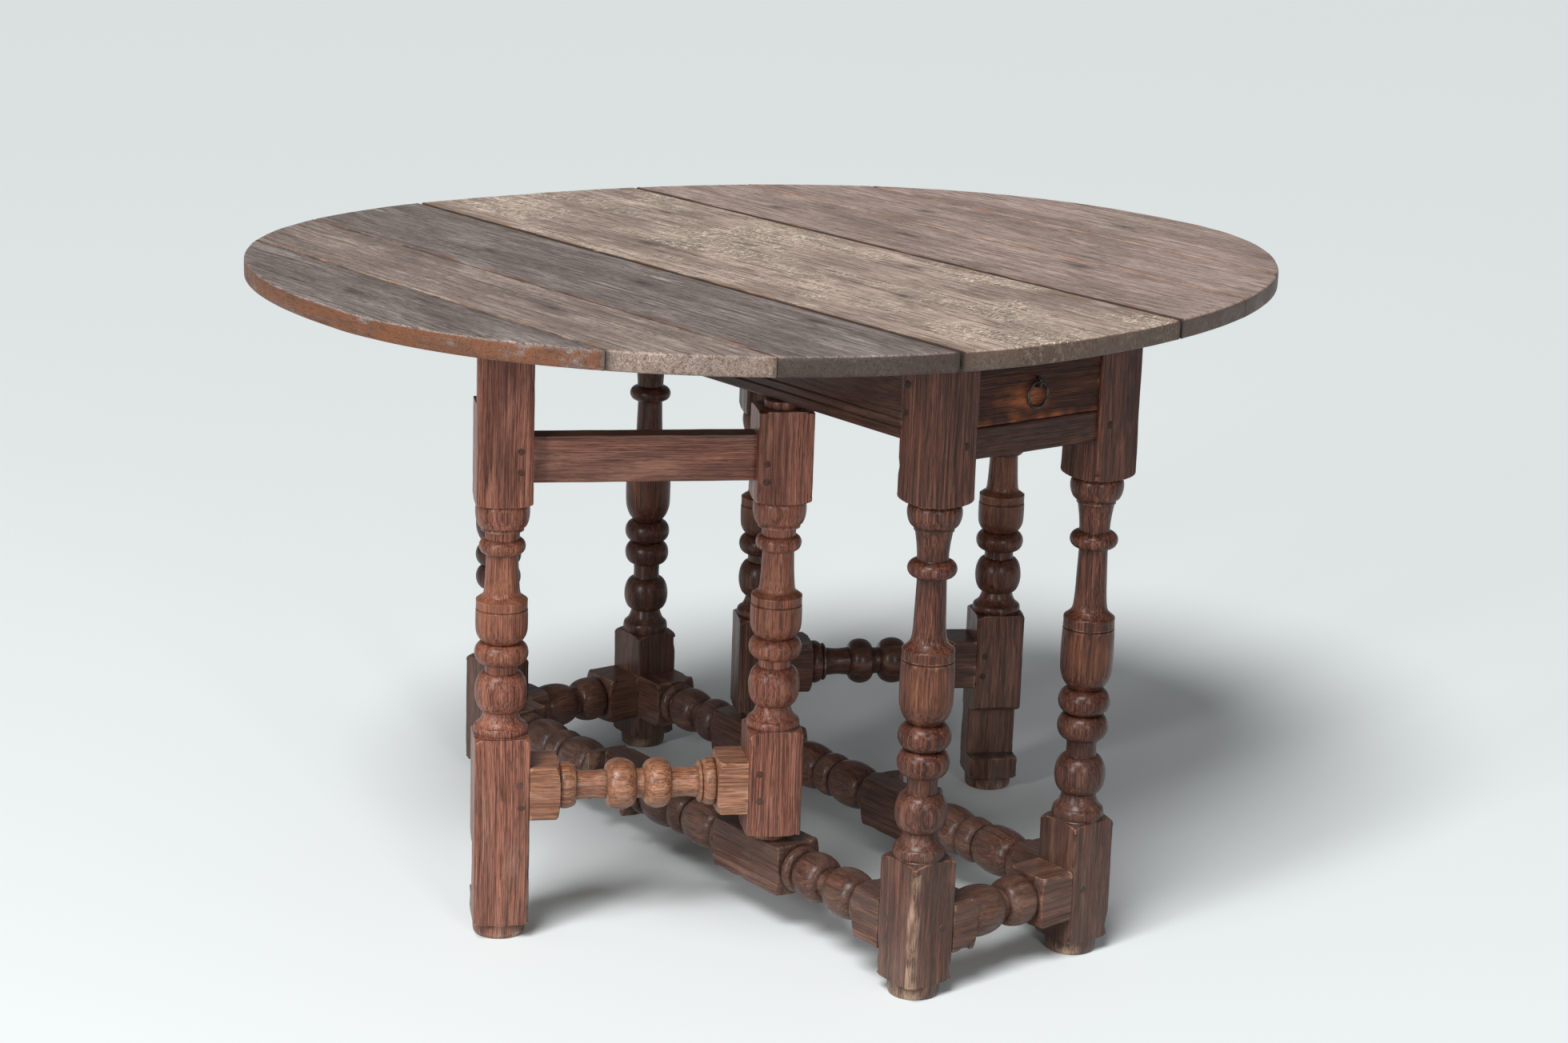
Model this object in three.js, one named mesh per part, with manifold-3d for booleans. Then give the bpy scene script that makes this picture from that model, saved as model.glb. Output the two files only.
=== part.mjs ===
// Oak gateleg table with an oval three-section top, two swinging gates and one end drawer.
// Millimetres, +Z up. The origin is on the floor under the middle of the top.
// X runs across the leaves, Y along the frame; the drawer opens towards -Y.

import * as THREE from 'three';
import { mergeVertices } from 'three/addons/utils/BufferGeometryUtils.js';
import Module from 'manifold-3d';

const wasm = await Module();
wasm.setup();

// ---------------------------------------------------------------- driving dimensions

// Whole table
const TABLE_HEIGHT = 731;
const TOP_SPAN_X = 1248;
const TOP_SPAN_Y = 1074;
const TOP_BELLY_X = -73;
const TOP_BELLY_Y = -25;
const TOP_ROUNDNESS = { front: 1.95, back: 2.33 };
const TOP_THICKNESS = 22;
const LEAF_JOINT_X = { left: 155, right: 169 };
const LEAF_SEAMS = { left: [336, 468], right: [323, 470] };

// The old frame stands slightly off the middle of its top.
const FRAME_SHIFT_X = -26;
const FRAME_SHIFT_Y = -25;

// Frame
const LEG_SPACING_X = 232;
const LEG_SPACING_Y = 848;
const LEG_SQUARE = 59;
const LEG_LOWER_BLOCK = 158;
const LEG_UPPER_BLOCK = 158;
const FOOT_HEIGHT = 16;
const STRETCHER_BOTTOM = 46;
const STRETCHER_SQUARE = 59;
const APRON_HEIGHT = 93;
const APRON_THICKNESS = 25;
const DRAWER_RAIL_HEIGHT = 34;
const DRAWER_RAIL_DEPTH = 30;
const RAIL_SETBACK = 4;

// Gates
const PIVOT_X = 128;
const PIVOT_Y = { left: 174, right: 188 };
const GATE_LENGTH = 308;
const GATE_SQUARE = 62;
const GATE_OPEN_ANGLE = THREE.MathUtils.degToRad(62.5);
const PIVOT_GAP = 9;
const GATE_LOWER_BLOCK = 238;
const GATE_UPPER_BLOCK = 207;
const GATE_RAIL_DROP = 183;
const GATE_RAIL_HEIGHT = 53;
const GATE_RAIL_THICKNESS = 28;
const GATE_STRETCHER_CENTRE = 172;
const LAP_DEPTH = 25;

// Drawer
const DRAWER_LENGTH = 430;
const DRAWER_FRONT_THICKNESS = 20;
const DRAWER_BOARD = 10;
const DRAWER_BOTTOM_THICKNESS = 7;
const DRAWER_SIDE_DROP = 6;
const RUNNER_LEDGE = 9;
const GUIDE_HEIGHT = 14;

// Ironwork
const RING_RADIUS = 13.5;
const RING_WIRE = 2;
const STAPLE_WIRE = 1.7;
const STAPLE_BEND = 4.6;
const RING_DROP = 34;
const RING_X = -5;
const HINGE_Y = 285;
const HINGE_LENGTH = 46;
const HINGE_FIXED_WIDTH = 13;
const HINGE_LEAF_WIDTH = 64;
const HINGE_PLATE = 1.8;
const HINGE_BARREL = 4;
const HINGE_PIN = 1.8;

// Joinery and clearances
const FIT = 0.3;
const SLIDING_FIT = 1;
const LEAF_GAP = 3;
const CLOSING_CLEARANCE = 1.5;
const TENON_THICKNESS = 10;
const TENON_SHOULDER = 8;
const PEG_RADIUS = 4.6;
const PEG_LENGTH = 34;
const PIVOT_PIN = 11;
const PIVOT_PIN_LENGTH = 26;
const PIVOT_COLLAR = 21;
const PIVOT_FIT = 0.6;

// Facets around a turned piece, a pin and a wire
const TURNED_SIDES = 10;
const PIN_SIDES = 12;
const PEG_SIDES = 8;
const WIRE_SIDES = 6;
const RING_SIDES = 20;
const STAPLE_STEPS = 26;

// ---------------------------------------------------------------- derived places

const LEG_X = LEG_SPACING_X / 2;
const LEG_Y = LEG_SPACING_Y / 2;
const LEG_HALF = LEG_SQUARE / 2;
const GATE_HALF = GATE_SQUARE / 2;
const UNDERSIDE = TABLE_HEIGHT - TOP_THICKNESS;
const FRAME_TOP = UNDERSIDE - FIT;
const APRON_BOTTOM = UNDERSIDE - APRON_HEIGHT;
const APRON_OUTER_X = PIVOT_X + APRON_THICKNESS / 2;
const STRETCHER_CENTRE = STRETCHER_BOTTOM + STRETCHER_SQUARE / 2;
const STRETCHER_TOP = STRETCHER_BOTTOM + STRETCHER_SQUARE;
const LEG_TURNING_LOW = LEG_LOWER_BLOCK;
const LEG_TURNING_HIGH = UNDERSIDE - LEG_UPPER_BLOCK;
const GATE_TURNING_LOW = GATE_LOWER_BLOCK;
const GATE_TURNING_HIGH = UNDERSIDE - GATE_UPPER_BLOCK;
const GATE_RAIL_BOTTOM = UNDERSIDE - GATE_RAIL_DROP;
const POST_BOTTOM = STRETCHER_TOP + PIVOT_GAP;
const POST_TOP = APRON_BOTTOM - PIVOT_GAP;
const CLEAR_X = LEG_SPACING_X - LEG_SQUARE;
const CLEAR_Y = LEG_SPACING_Y - LEG_SQUARE;
const TENON_LENGTH = LEG_HALF - TENON_THICKNESS / 2 - 2.5;
const DRAWER_FACE_Y = -(LEG_Y + LEG_HALF - RAIL_SETBACK);
const DRAWER_FLOOR = APRON_BOTTOM + DRAWER_RAIL_HEIGHT / 2;
const DRAWER_RAIL_BOTTOM = DRAWER_FLOOR - DRAWER_RAIL_HEIGHT;
const RUNNER_HEIGHT = DRAWER_FLOOR - APRON_BOTTOM - FIT;
const RING_PIVOT_Z = FRAME_TOP - RING_DROP;
const RING_PIVOT_Y = DRAWER_FACE_Y - RING_WIRE - SLIDING_FIT;
const HINGE_AXIS_Z = UNDERSIDE - HINGE_BARREL - FIT;

// ---------------------------------------------------------------- materials

function oak(color, roughness) {
  return new THREE.MeshStandardMaterial({ color, roughness, metalness: 0 });
}

function frameOak() {
  return oak(0x3a1d14, 0.45);
}

function gateOak() {
  return oak(0x55281a, 0.45);
}

function topOak() {
  return oak(0x4b3c30, 0.6);
}

function drawerOak() {
  return oak(0x6a3a20, 0.6);
}

function hiddenOak() {
  return oak(0x6b523a, 0.8);
}

function wroughtIron() {
  return new THREE.MeshStandardMaterial({ color: 0x3b3836, roughness: 0.5, metalness: 0.9 });
}

// ---------------------------------------------------------------- solid modelling helpers

// A closed geometry as a solid that can be joined and cut.
function solid(geometry) {
  const bare = geometry.clone();
  bare.deleteAttribute('normal');
  bare.deleteAttribute('uv');
  const merged = mergeVertices(bare, 1e-4);
  return new wasm.Manifold(new wasm.Mesh({
    numProp: 3,
    vertProperties: new Float32Array(merged.attributes.position.array),
    triVerts: new Uint32Array(merged.index.array),
  }));
}

function geometryOf(body) {
  const mesh = body.getMesh();
  const geometry = new THREE.BufferGeometry();
  geometry.setAttribute('position', new THREE.BufferAttribute(mesh.vertProperties, 3));
  geometry.setIndex(new THREE.BufferAttribute(mesh.triVerts, 1));
  return geometry;
}

// A box from its low and high limits on each axis.
function block([x0, x1], [y0, y1], [z0, z1]) {
  const box = new THREE.BoxGeometry(x1 - x0, y1 - y0, z1 - z0);
  return solid(box.translate((x0 + x1) / 2, (y0 + y1) / 2, (z0 + z1) / 2));
}

// A square-section block around the Z axis.
function post(side, z0, z1) {
  return block([-side / 2, side / 2], [-side / 2, side / 2], [z0, z1]);
}

// A round pin along Z, X or Y, from its lower end.
function pin(radius, length, axis = 'z', sides = PIN_SIDES) {
  const geometry = new THREE.CylinderGeometry(radius, radius, length, sides);
  geometry.translate(0, length / 2, 0);
  if (axis === 'z') geometry.rotateX(Math.PI / 2);
  if (axis === 'x') geometry.rotateZ(-Math.PI / 2);
  return solid(geometry);
}

// A turned solid around Z through (z, radius) points, closed on the axis at both ends.
function turned(points) {
  const first = points[0];
  const last = points[points.length - 1];
  const profile = [[first[0], 0], ...points, [last[0], 0]];
  const outline = profile.map(([z, radius]) => new THREE.Vector2(radius, z));
  const lathe = new THREE.LatheGeometry(outline, TURNED_SIDES);
  return solid(lathe.rotateX(Math.PI / 2).rotateZ(Math.PI / TURNED_SIDES));
}

function joined(parts) {
  return parts.reduce((whole, part) => whole.add(part));
}

function mesh(name, geometry, material) {
  const result = new THREE.Mesh(geometry, material);
  result.name = name;
  return result;
}

// ---------------------------------------------------------------- turning vocabulary

// Each element returns points (height above its start, radius) and its own length.
function straight(length, radius) {
  return { length, points: [[0, radius], [length, radius]] };
}

function taper(length, startRadius, endRadius) {
  return { length, points: [[0, startRadius], [length, endRadius]] };
}

// A convex swelling between two narrow ends.
function bead(length, endRadius, peakRadius, steps = 2) {
  const points = [];
  for (let i = 0; i <= steps; i += 1) {
    const angle = (Math.PI * i) / steps;
    const height = (length * (1 - Math.cos(angle))) / 2;
    points.push([height, endRadius + (peakRadius - endRadius) * Math.sin(angle)]);
  }
  return { length, points };
}

// A rounded cup that grows from a narrow foot to its full radius.
function cup(length, footRadius, fullRadius, roundLength, steps = 2) {
  const points = [];
  for (let i = 0; i <= steps; i += 1) {
    const angle = (Math.PI * i) / (2 * steps);
    const height = roundLength * (1 - Math.cos(angle));
    points.push([height, footRadius + (fullRadius - footRadius) * Math.sin(angle)]);
  }
  points.push([length, fullRadius]);
  return { length, points };
}

function ball(length, endRadius, peakRadius) {
  return bead(length, endRadius, peakRadius, 4);
}

// Chains elements upwards from a height and stretches them to fill the span exactly.
function turning(bottom, top, elements) {
  const total = elements.reduce((sum, element) => sum + element.length, 0);
  const scale = (top - bottom) / total;
  const points = [];
  let start = 0;
  for (const element of elements) {
    for (const [height, radius] of element.points) {
      points.push([bottom + (start + height) * scale, radius]);
    }
    start += element.length;
  }
  return turned(points);
}

function legTurning(bottom, top) {
  return turning(bottom, top, [
    bead(14, 26, 29),
    taper(16, 26, 19),
    ball(45, 18, 28.8),
    straight(17, 17),
    bead(30, 19, 28.6),
    bead(31, 19, 29),
    cup(63, 19, 29.2, 28),
    straight(19, 28),
    taper(11, 28, 19.4),
    taper(66, 19, 16),
    bead(21, 19, 27),
    taper(20, 17.4, 21.5),
    straight(7, 24.4),
    bead(32, 25, 29.3),
  ]);
}

function gateTurning(bottom, top) {
  return turning(bottom, top, [
    bead(10, 27, 30.6),
    taper(15, 27, 20),
    ball(46, 18.5, 29.5),
    straight(9, 18.5),
    bead(23, 21, 30),
    cup(39, 21.5, 29.4, 20),
    straight(11, 28.6),
    taper(6, 28.6, 20.7),
    taper(46, 20.6, 18),
    bead(17, 19, 26),
    straight(10, 19.3),
    straight(4, 24),
    bead(29, 25, 30),
  ]);
}

// ---------------------------------------------------------------- frame legs

// Tenons are centred on the rail they belong to, in the leg's own frame at its axis.
function legMortises(sideX, sideY) {
  const inwardY = -sideY;
  const inwardX = -sideX;
  const reachY = inwardY > 0
    ? [LEG_HALF - TENON_LENGTH - FIT, LEG_HALF + 1]
    : [-LEG_HALF - 1, -(LEG_HALF - TENON_LENGTH - FIT)];
  const reachX = inwardX > 0
    ? [LEG_HALF - TENON_LENGTH - FIT, LEG_HALF + 1]
    : [-LEG_HALF - 1, -(LEG_HALF - TENON_LENGTH - FIT)];
  const half = TENON_THICKNESS / 2 + FIT;
  const apronX = sideX * (PIVOT_X - LEG_X);
  const endRail = endRailSpan(sideY);
  const endRailY = sideY * (endRail.centreY - LEG_Y);
  const stretcherLow = STRETCHER_BOTTOM + TENON_SHOULDER - FIT;
  const stretcherHigh = STRETCHER_TOP - TENON_SHOULDER + FIT;
  return joined([
    block([apronX - half, apronX + half], reachY, tenonHeights(APRON_BOTTOM, FRAME_TOP, FIT)),
    block(reachX, [endRailY - half, endRailY + half], tenonHeights(...endRail.heights, FIT)),
    block([-half, half], reachY, [stretcherLow, stretcherHigh]),
    block(reachX, [-half, half], [stretcherLow, stretcherHigh]),
  ]);
}

// The rail at each end of the frame: the drawer rail in front, a full apron at the back.
function endRailSpan(sideY) {
  if (sideY < 0) {
    return {
      centreY: -DRAWER_FACE_Y - DRAWER_RAIL_DEPTH / 2,
      heights: [DRAWER_RAIL_BOTTOM, DRAWER_FLOOR],
    };
  }
  return {
    centreY: LEG_Y + LEG_HALF - RAIL_SETBACK - APRON_THICKNESS / 2,
    heights: [APRON_BOTTOM, FRAME_TOP],
  };
}

function tenonHeights(bottom, top, clearance) {
  const shoulder = Math.min(TENON_SHOULDER * 2, (top - bottom) / 5);
  return [bottom + shoulder - clearance, top - shoulder + clearance];
}

// Heights of the two pegs in each apron joint.
function apronPegHeights() {
  const [low, high] = tenonHeights(APRON_BOTTOM, FRAME_TOP, 0);
  return [low + (high - low) * 0.25, low + (high - low) * 0.75];
}

// How far a peg sits in from the shoulder of the apron tenon.
function pegInset() {
  return TENON_LENGTH * 0.5;
}

function frameLeg(sideX, sideY) {
  const foot = turned([[0, LEG_HALF - 4], [3, LEG_HALF - 1.5], [FOOT_HEIGHT + 2, LEG_HALF - 0.5]]);
  let leg = joined([
    foot,
    post(LEG_SQUARE, FOOT_HEIGHT, LEG_TURNING_LOW),
    legTurning(LEG_TURNING_LOW - 1, LEG_TURNING_HIGH + 1),
    post(LEG_SQUARE, LEG_TURNING_HIGH, FRAME_TOP),
  ]);
  leg = leg.subtract(legMortises(sideX, sideY));
  for (const z of apronPegHeights()) {
    const hole = pin(PEG_RADIUS + FIT, PEG_LENGTH + FIT, 'x', PEG_SIDES);
    const outside = sideX > 0 ? LEG_HALF - PEG_LENGTH - FIT : -LEG_HALF;
    leg = leg.subtract(hole.translate([outside, -sideY * (LEG_HALF - pegInset()), z]));
  }
  return geometryOf(leg);
}

function apronPeg() {
  return geometryOf(pin(PEG_RADIUS, PEG_LENGTH, 'x', PEG_SIDES));
}

// ---------------------------------------------------------------- rails of the frame

// A side apron, centred on its own origin along Y, with a stub tenon at each end.
function sideApron(pivotY) {
  const half = CLEAR_Y / 2 - FIT;
  const reach = CLEAR_Y / 2 + TENON_LENGTH;
  const tenon = TENON_THICKNESS / 2;
  const thick = APRON_THICKNESS / 2;
  let apron = block([-thick, thick], [-half, half], [APRON_BOTTOM, FRAME_TOP]).add(
    block([-tenon, tenon], [-reach, reach], tenonHeights(APRON_BOTTOM, FRAME_TOP, 0)),
  );
  const hole = pin(PIVOT_PIN + PIVOT_FIT, PIVOT_PIN_LENGTH + 2);
  apron = apron.subtract(hole.translate([0, pivotY, APRON_BOTTOM - 1]));
  for (const z of apronPegHeights()) {
    for (const sideY of [-1, 1]) {
      const pegHole = pin(PEG_RADIUS + FIT, APRON_THICKNESS * 2, 'x', PEG_SIDES);
      const y = sideY * (CLEAR_Y / 2 + pegInset());
      apron = apron.subtract(pegHole.translate([-APRON_THICKNESS, y, z]));
    }
  }
  return geometryOf(apron);
}

// An end rail across the frame, centred on its own origin, with a stub tenon at each end.
function endRail(depth, [bottom, top]) {
  const half = CLEAR_X / 2 - FIT;
  const reach = CLEAR_X / 2 + TENON_LENGTH;
  const tenon = TENON_THICKNESS / 2;
  return geometryOf(block([-half, half], [-depth / 2, depth / 2], [bottom, top]).add(
    block([-reach, reach], [-tenon, tenon], tenonHeights(bottom, top, 0)),
  ));
}

// ---------------------------------------------------------------- stretchers

// A stretcher lies along Z while it is built: blocks alternate with turnings.
// Each span is [start, end, elements]; a span without elements is a square block.
function stretcherBlank(square, spans) {
  const bodies = spans.map(([start, end, elements]) => (elements
    ? turning(start - 1, end + 1, elements)
    : post(square, start, end)));
  return joined(bodies);
}

function stretcherTenons(square, length) {
  const tenon = TENON_THICKNESS / 2;
  const height = square / 2 - TENON_SHOULDER;
  const reach = length / 2 + TENON_LENGTH;
  return block([-tenon, tenon], [-height, height], [-reach, reach]);
}

// The short front stretch of a long stretcher, and the longer ones between its blocks.
function shortReel() {
  return [bead(12, 22, 27), ball(52, 17, 28.8), straight(8, 17), ball(40, 20, 28.4), bead(14, 20, 27)];
}

function longReel() {
  return [bead(12, 22, 27), ball(52, 17, 28.8), bead(24, 20, 27), ball(52, 17, 28.8), bead(12, 22, 27)];
}

const PIVOT_BLOCK_AHEAD = 42;
const PIVOT_BLOCK_BEHIND = 84;
const LAP_BLOCK_HALF = 43;
const END_BLOCK = 45;

// A long stretcher along Y. Its gate pivots near the -Y end and laps over it near +Y.
function longStretcher(pivotY) {
  const end = CLEAR_Y / 2 - FIT;
  const endBlock = CLEAR_Y / 2 - END_BLOCK;
  const lapY = GATE_LENGTH - pivotY;
  const spans = [
    [-end, -endBlock],
    [-endBlock, -pivotY - PIVOT_BLOCK_AHEAD, shortReel()],
    [-pivotY - PIVOT_BLOCK_AHEAD, -pivotY + PIVOT_BLOCK_BEHIND],
    [-pivotY + PIVOT_BLOCK_BEHIND, lapY - LAP_BLOCK_HALF, longReel()],
    [lapY - LAP_BLOCK_HALF, lapY + LAP_BLOCK_HALF],
    [lapY + LAP_BLOCK_HALF, endBlock, longReel()],
    [endBlock, end],
  ];
  const blank = stretcherBlank(STRETCHER_SQUARE, spans).add(stretcherTenons(STRETCHER_SQUARE, CLEAR_Y));
  const lying = blank.rotate([-90, 0, 0]);
  const notchDepth = gateOverlap() - LAP_DEPTH + CLOSING_CLEARANCE;
  const edge = STRETCHER_SQUARE / 2;
  const notch = block(
    [-edge - 1, -edge + notchDepth],
    [lapY - GATE_HALF - CLOSING_CLEARANCE, lapY + GATE_HALF + CLOSING_CLEARANCE],
    [-edge - 1, edge + 1],
  );
  const pivotHole = pin(PIVOT_PIN + PIVOT_FIT, PIVOT_PIN_LENGTH + 2);
  const pivotPlace = [LEG_X - PIVOT_X, -pivotY, edge - PIVOT_PIN_LENGTH];
  return geometryOf(lying.subtract(notch).subtract(pivotHole.translate(pivotPlace)));
}

// How deep the closed gate leg and the long stretcher would overlap without their laps.
function gateOverlap() {
  return (LEG_X + STRETCHER_SQUARE / 2) - (PIVOT_X - GATE_HALF);
}

// An end stretcher along X between two frame legs.
function endStretcher() {
  const end = CLEAR_X / 2 - FIT;
  const spans = [
    [-end, -end + 34],
    [-end + 34, end - 44, [ball(52, 20, 28.8), straight(6, 17), bead(34, 20, 28.4)]],
    [end - 44, end],
  ];
  const blank = stretcherBlank(STRETCHER_SQUARE, spans).add(stretcherTenons(STRETCHER_SQUARE, CLEAR_X));
  return geometryOf(blank.rotate([0, 0, 90]).rotate([0, 90, 0]));
}

// ---------------------------------------------------------------- gates

// Gate pieces share one frame: Z is the pivot axis and +Y runs out to the gate's outer leg.
function gateTenonHole(z0, z1, alongPositiveY) {
  const half = TENON_THICKNESS / 2 + FIT;
  const inner = GATE_HALF - TENON_LENGTH - FIT;
  const reach = alongPositiveY ? [inner, GATE_HALF + 1] : [-GATE_HALF - 1, -inner];
  return block([-half, half], reach, [z0 - FIT, z1 + FIT]);
}

function gateMortises(alongPositiveY) {
  const rail = tenonHeights(GATE_RAIL_BOTTOM, GATE_RAIL_BOTTOM + GATE_RAIL_HEIGHT, 0);
  const low = GATE_STRETCHER_CENTRE - GATE_HALF + TENON_SHOULDER;
  const high = GATE_STRETCHER_CENTRE + GATE_HALF - TENON_SHOULDER;
  return gateTenonHole(...rail, alongPositiveY).add(gateTenonHole(low, high, alongPositiveY));
}

function pivotPost() {
  const topPin = APRON_BOTTOM + PIVOT_PIN_LENGTH - FIT;
  const bottomPin = STRETCHER_TOP - PIVOT_PIN_LENGTH + FIT;
  const body = joined([
    pin(PIVOT_PIN, POST_BOTTOM + 1 - bottomPin).translate([0, 0, bottomPin]),
    pin(PIVOT_COLLAR, POST_BOTTOM + 1 - STRETCHER_TOP - FIT).translate([0, 0, STRETCHER_TOP + FIT]),
    post(GATE_SQUARE, POST_BOTTOM, GATE_TURNING_LOW),
    gateTurning(GATE_TURNING_LOW - 1, GATE_TURNING_HIGH + 1),
    post(GATE_SQUARE, GATE_TURNING_HIGH, POST_TOP),
    pin(PIVOT_COLLAR, APRON_BOTTOM - FIT - POST_TOP + 1).translate([0, 0, POST_TOP - 1]),
    pin(PIVOT_PIN, topPin - POST_TOP).translate([0, 0, POST_TOP]),
  ]);
  return geometryOf(body.subtract(gateMortises(true)));
}

// The outer leg is lapped at the stretcher and rebated at the top to close around the frame.
function outerLeg() {
  const foot = turned([[0, GATE_HALF - 5], [4, GATE_HALF - 2], [FOOT_HEIGHT + 2, GATE_HALF - 0.5]]);
  const body = joined([
    foot,
    post(GATE_SQUARE, FOOT_HEIGHT, GATE_TURNING_LOW),
    gateTurning(GATE_TURNING_LOW - 1, GATE_TURNING_HIGH + 1),
    post(GATE_SQUARE, GATE_TURNING_HIGH, FRAME_TOP),
  ]);
  const across = [-GATE_HALF - 1, GATE_HALF + 1];
  const lap = block(
    [GATE_HALF - LAP_DEPTH, GATE_HALF + 1],
    across,
    [STRETCHER_BOTTOM - CLOSING_CLEARANCE, STRETCHER_TOP + CLOSING_CLEARANCE],
  );
  const rebateX = PIVOT_X - APRON_OUTER_X - CLOSING_CLEARANCE;
  const rebate = block([rebateX, GATE_HALF + 1], across, [APRON_BOTTOM - CLOSING_CLEARANCE, UNDERSIDE]);
  return geometryOf(body.subtract(gateMortises(false)).subtract(lap).subtract(rebate));
}

function gateRail() {
  const start = GATE_HALF + FIT;
  const end = GATE_LENGTH - GATE_HALF - FIT;
  const top = GATE_RAIL_BOTTOM + GATE_RAIL_HEIGHT;
  const half = GATE_RAIL_THICKNESS / 2;
  const tenon = TENON_THICKNESS / 2;
  const reach = [GATE_HALF - TENON_LENGTH, GATE_LENGTH - GATE_HALF + TENON_LENGTH];
  return geometryOf(block([-half, half], [start, end], [GATE_RAIL_BOTTOM, top]).add(
    block([-tenon, tenon], reach, tenonHeights(GATE_RAIL_BOTTOM, top, 0)),
  ));
}

// A gate stretcher along Y, centred on its own origin.
function gateStretcher() {
  const clear = GATE_LENGTH - GATE_SQUARE;
  const end = clear / 2 - FIT;
  const spans = [
    [-end, -end + 34],
    [-end + 34, end - 34, [
      bead(15, 22, 27),
      straight(5, 24),
      straight(30, 17),
      ball(31, 17.5, 28.8),
      straight(8, 17),
      ball(34, 18, 29.4),
      straight(33, 16),
      bead(18, 21, 26),
    ]],
    [end - 34, end],
  ];
  const blank = stretcherBlank(GATE_SQUARE, spans).add(stretcherTenons(GATE_SQUARE, clear));
  return geometryOf(blank.rotate([-90, 0, 0]));
}

function gate(side) {
  const group = new THREE.Group();
  const material = gateOak();
  const rail = mesh(`gate_${side}_top_rail`, gateRail(), material);
  const stretcher = mesh(`gate_${side}_stretcher`, gateStretcher(), gateOak());
  stretcher.position.set(0, GATE_LENGTH / 2, GATE_STRETCHER_CENTRE);
  const leg = mesh(`gate_${side}_outer_leg`, outerLeg(), gateOak());
  leg.position.y = GATE_LENGTH;
  group.add(mesh(`gate_${side}_pivot_post`, pivotPost(), gateOak()), leg, rail, stretcher);
  return group;
}

// ---------------------------------------------------------------- top

// The hand-cut oval is widest at its belly, and its back is squarer than its front.
// Its front and back edges (y) at a distance x from its middle.
function topEdges(x) {
  const reach = TOP_SPAN_X / 2 + Math.sign(TOP_BELLY_X - x) * TOP_BELLY_X;
  const part = Math.min(1, Math.abs(x - TOP_BELLY_X) / reach);
  const depth = (full, roundness) => full * (1 - part ** roundness) ** (1 / roundness);
  return [
    TOP_BELLY_Y - depth(TOP_SPAN_Y / 2 + TOP_BELLY_Y, TOP_ROUNDNESS.front),
    TOP_BELLY_Y + depth(TOP_SPAN_Y / 2 - TOP_BELLY_Y, TOP_ROUNDNESS.back),
  ];
}

// The same edges from the frame's middle, for a board on the given side.
// A board of the left-hand leaf is drawn turned half way round, so side is -1 for it.
function boardEdges(side, x) {
  const [front, back] = topEdges(side * x + FRAME_SHIFT_X).map((y) => side * (y - FRAME_SHIFT_Y));
  return [Math.min(front, back), Math.max(front, back)];
}

// A board of the top between two distances from the frame's middle, cut to the oval.
function topBoard(side, x0, x1, steps, crowded = false) {
  const near = [];
  const far = [];
  for (let i = 0; i <= steps; i += 1) {
    const part = crowded ? Math.sin((Math.PI / 2) * (i / steps)) : i / steps;
    const x = x0 + (x1 - x0) * part;
    const [low, high] = boardEdges(side, x);
    near.push(new THREE.Vector2(x, low));
    far.push(new THREE.Vector2(x, high));
  }
  const endsInPoint = far[steps].y - near[steps].y < FIT;
  const shape = new THREE.Shape([...near, ...far.reverse().slice(endsInPoint ? 1 : 0)]);
  const board = new THREE.ExtrudeGeometry(shape, { depth: TOP_THICKNESS, bevelEnabled: false });
  return geometryOf(solid(board));
}

function leaf(name, side) {
  const group = new THREE.Group();
  const rim = TOP_SPAN_X / 2 - side * FRAME_SHIFT_X;
  const limits = [LEAF_JOINT_X[name] + LEAF_GAP / 2, ...LEAF_SEAMS[name], rim];
  ['inner_board', 'middle_board', 'outer_board'].forEach((board, i) => {
    const outermost = i === limits.length - 2;
    const start = limits[i] + (i > 0 ? FIT / 2 : 0);
    const end = limits[i + 1] - (outermost ? 0 : FIT / 2);
    const geometry = topBoard(side, start, end, outermost ? 12 : 4, outermost);
    group.add(mesh(`leaf_${name}_${board}`, geometry, topOak()));
  });
  group.position.z = UNDERSIDE;
  return group;
}

// ---------------------------------------------------------------- leaf hinges

// Hinge pieces lie along Y around the pin axis; the leaf is on the +X side.
function lyingPin(radius, y0, y1) {
  return pin(radius, y1 - y0, 'y', PEG_SIDES).translate([0, y0, 0]);
}

function hingePlate(y0, y1, x0, x1) {
  return block([x0, x1], [y0, y1], [HINGE_BARREL - HINGE_PLATE, HINGE_BARREL]);
}

function bored(body) {
  return geometryOf(body.subtract(lyingPin(HINGE_PIN + FIT, -HINGE_LENGTH, HINGE_LENGTH)));
}

const KNUCKLE_EDGE = HINGE_LENGTH / 6;
const PLATE_EDGE = HINGE_BARREL + SLIDING_FIT;

function fixedPlate() {
  const end = HINGE_LENGTH / 2;
  return bored(joined([
    hingePlate(-end, end, -HINGE_FIXED_WIDTH, -PLATE_EDGE),
    hingePlate(-end, -KNUCKLE_EDGE - FIT, -PLATE_EDGE - 1, 0),
    hingePlate(KNUCKLE_EDGE + FIT, end, -PLATE_EDGE - 1, 0),
    lyingPin(HINGE_BARREL, -end, -KNUCKLE_EDGE - FIT),
    lyingPin(HINGE_BARREL, KNUCKLE_EDGE + FIT, end),
  ]));
}

function leafPlate() {
  const end = HINGE_LENGTH / 2;
  return bored(joined([
    hingePlate(-end, end, PLATE_EDGE, HINGE_LEAF_WIDTH),
    hingePlate(-KNUCKLE_EDGE + FIT, KNUCKLE_EDGE - FIT, 0, PLATE_EDGE + 1),
    lyingPin(HINGE_BARREL, -KNUCKLE_EDGE + FIT, KNUCKLE_EDGE - FIT),
  ]));
}

function hingePin() {
  const reach = HINGE_LENGTH / 2 + 2;
  return geometryOf(lyingPin(HINGE_PIN, -reach, reach));
}

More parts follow.
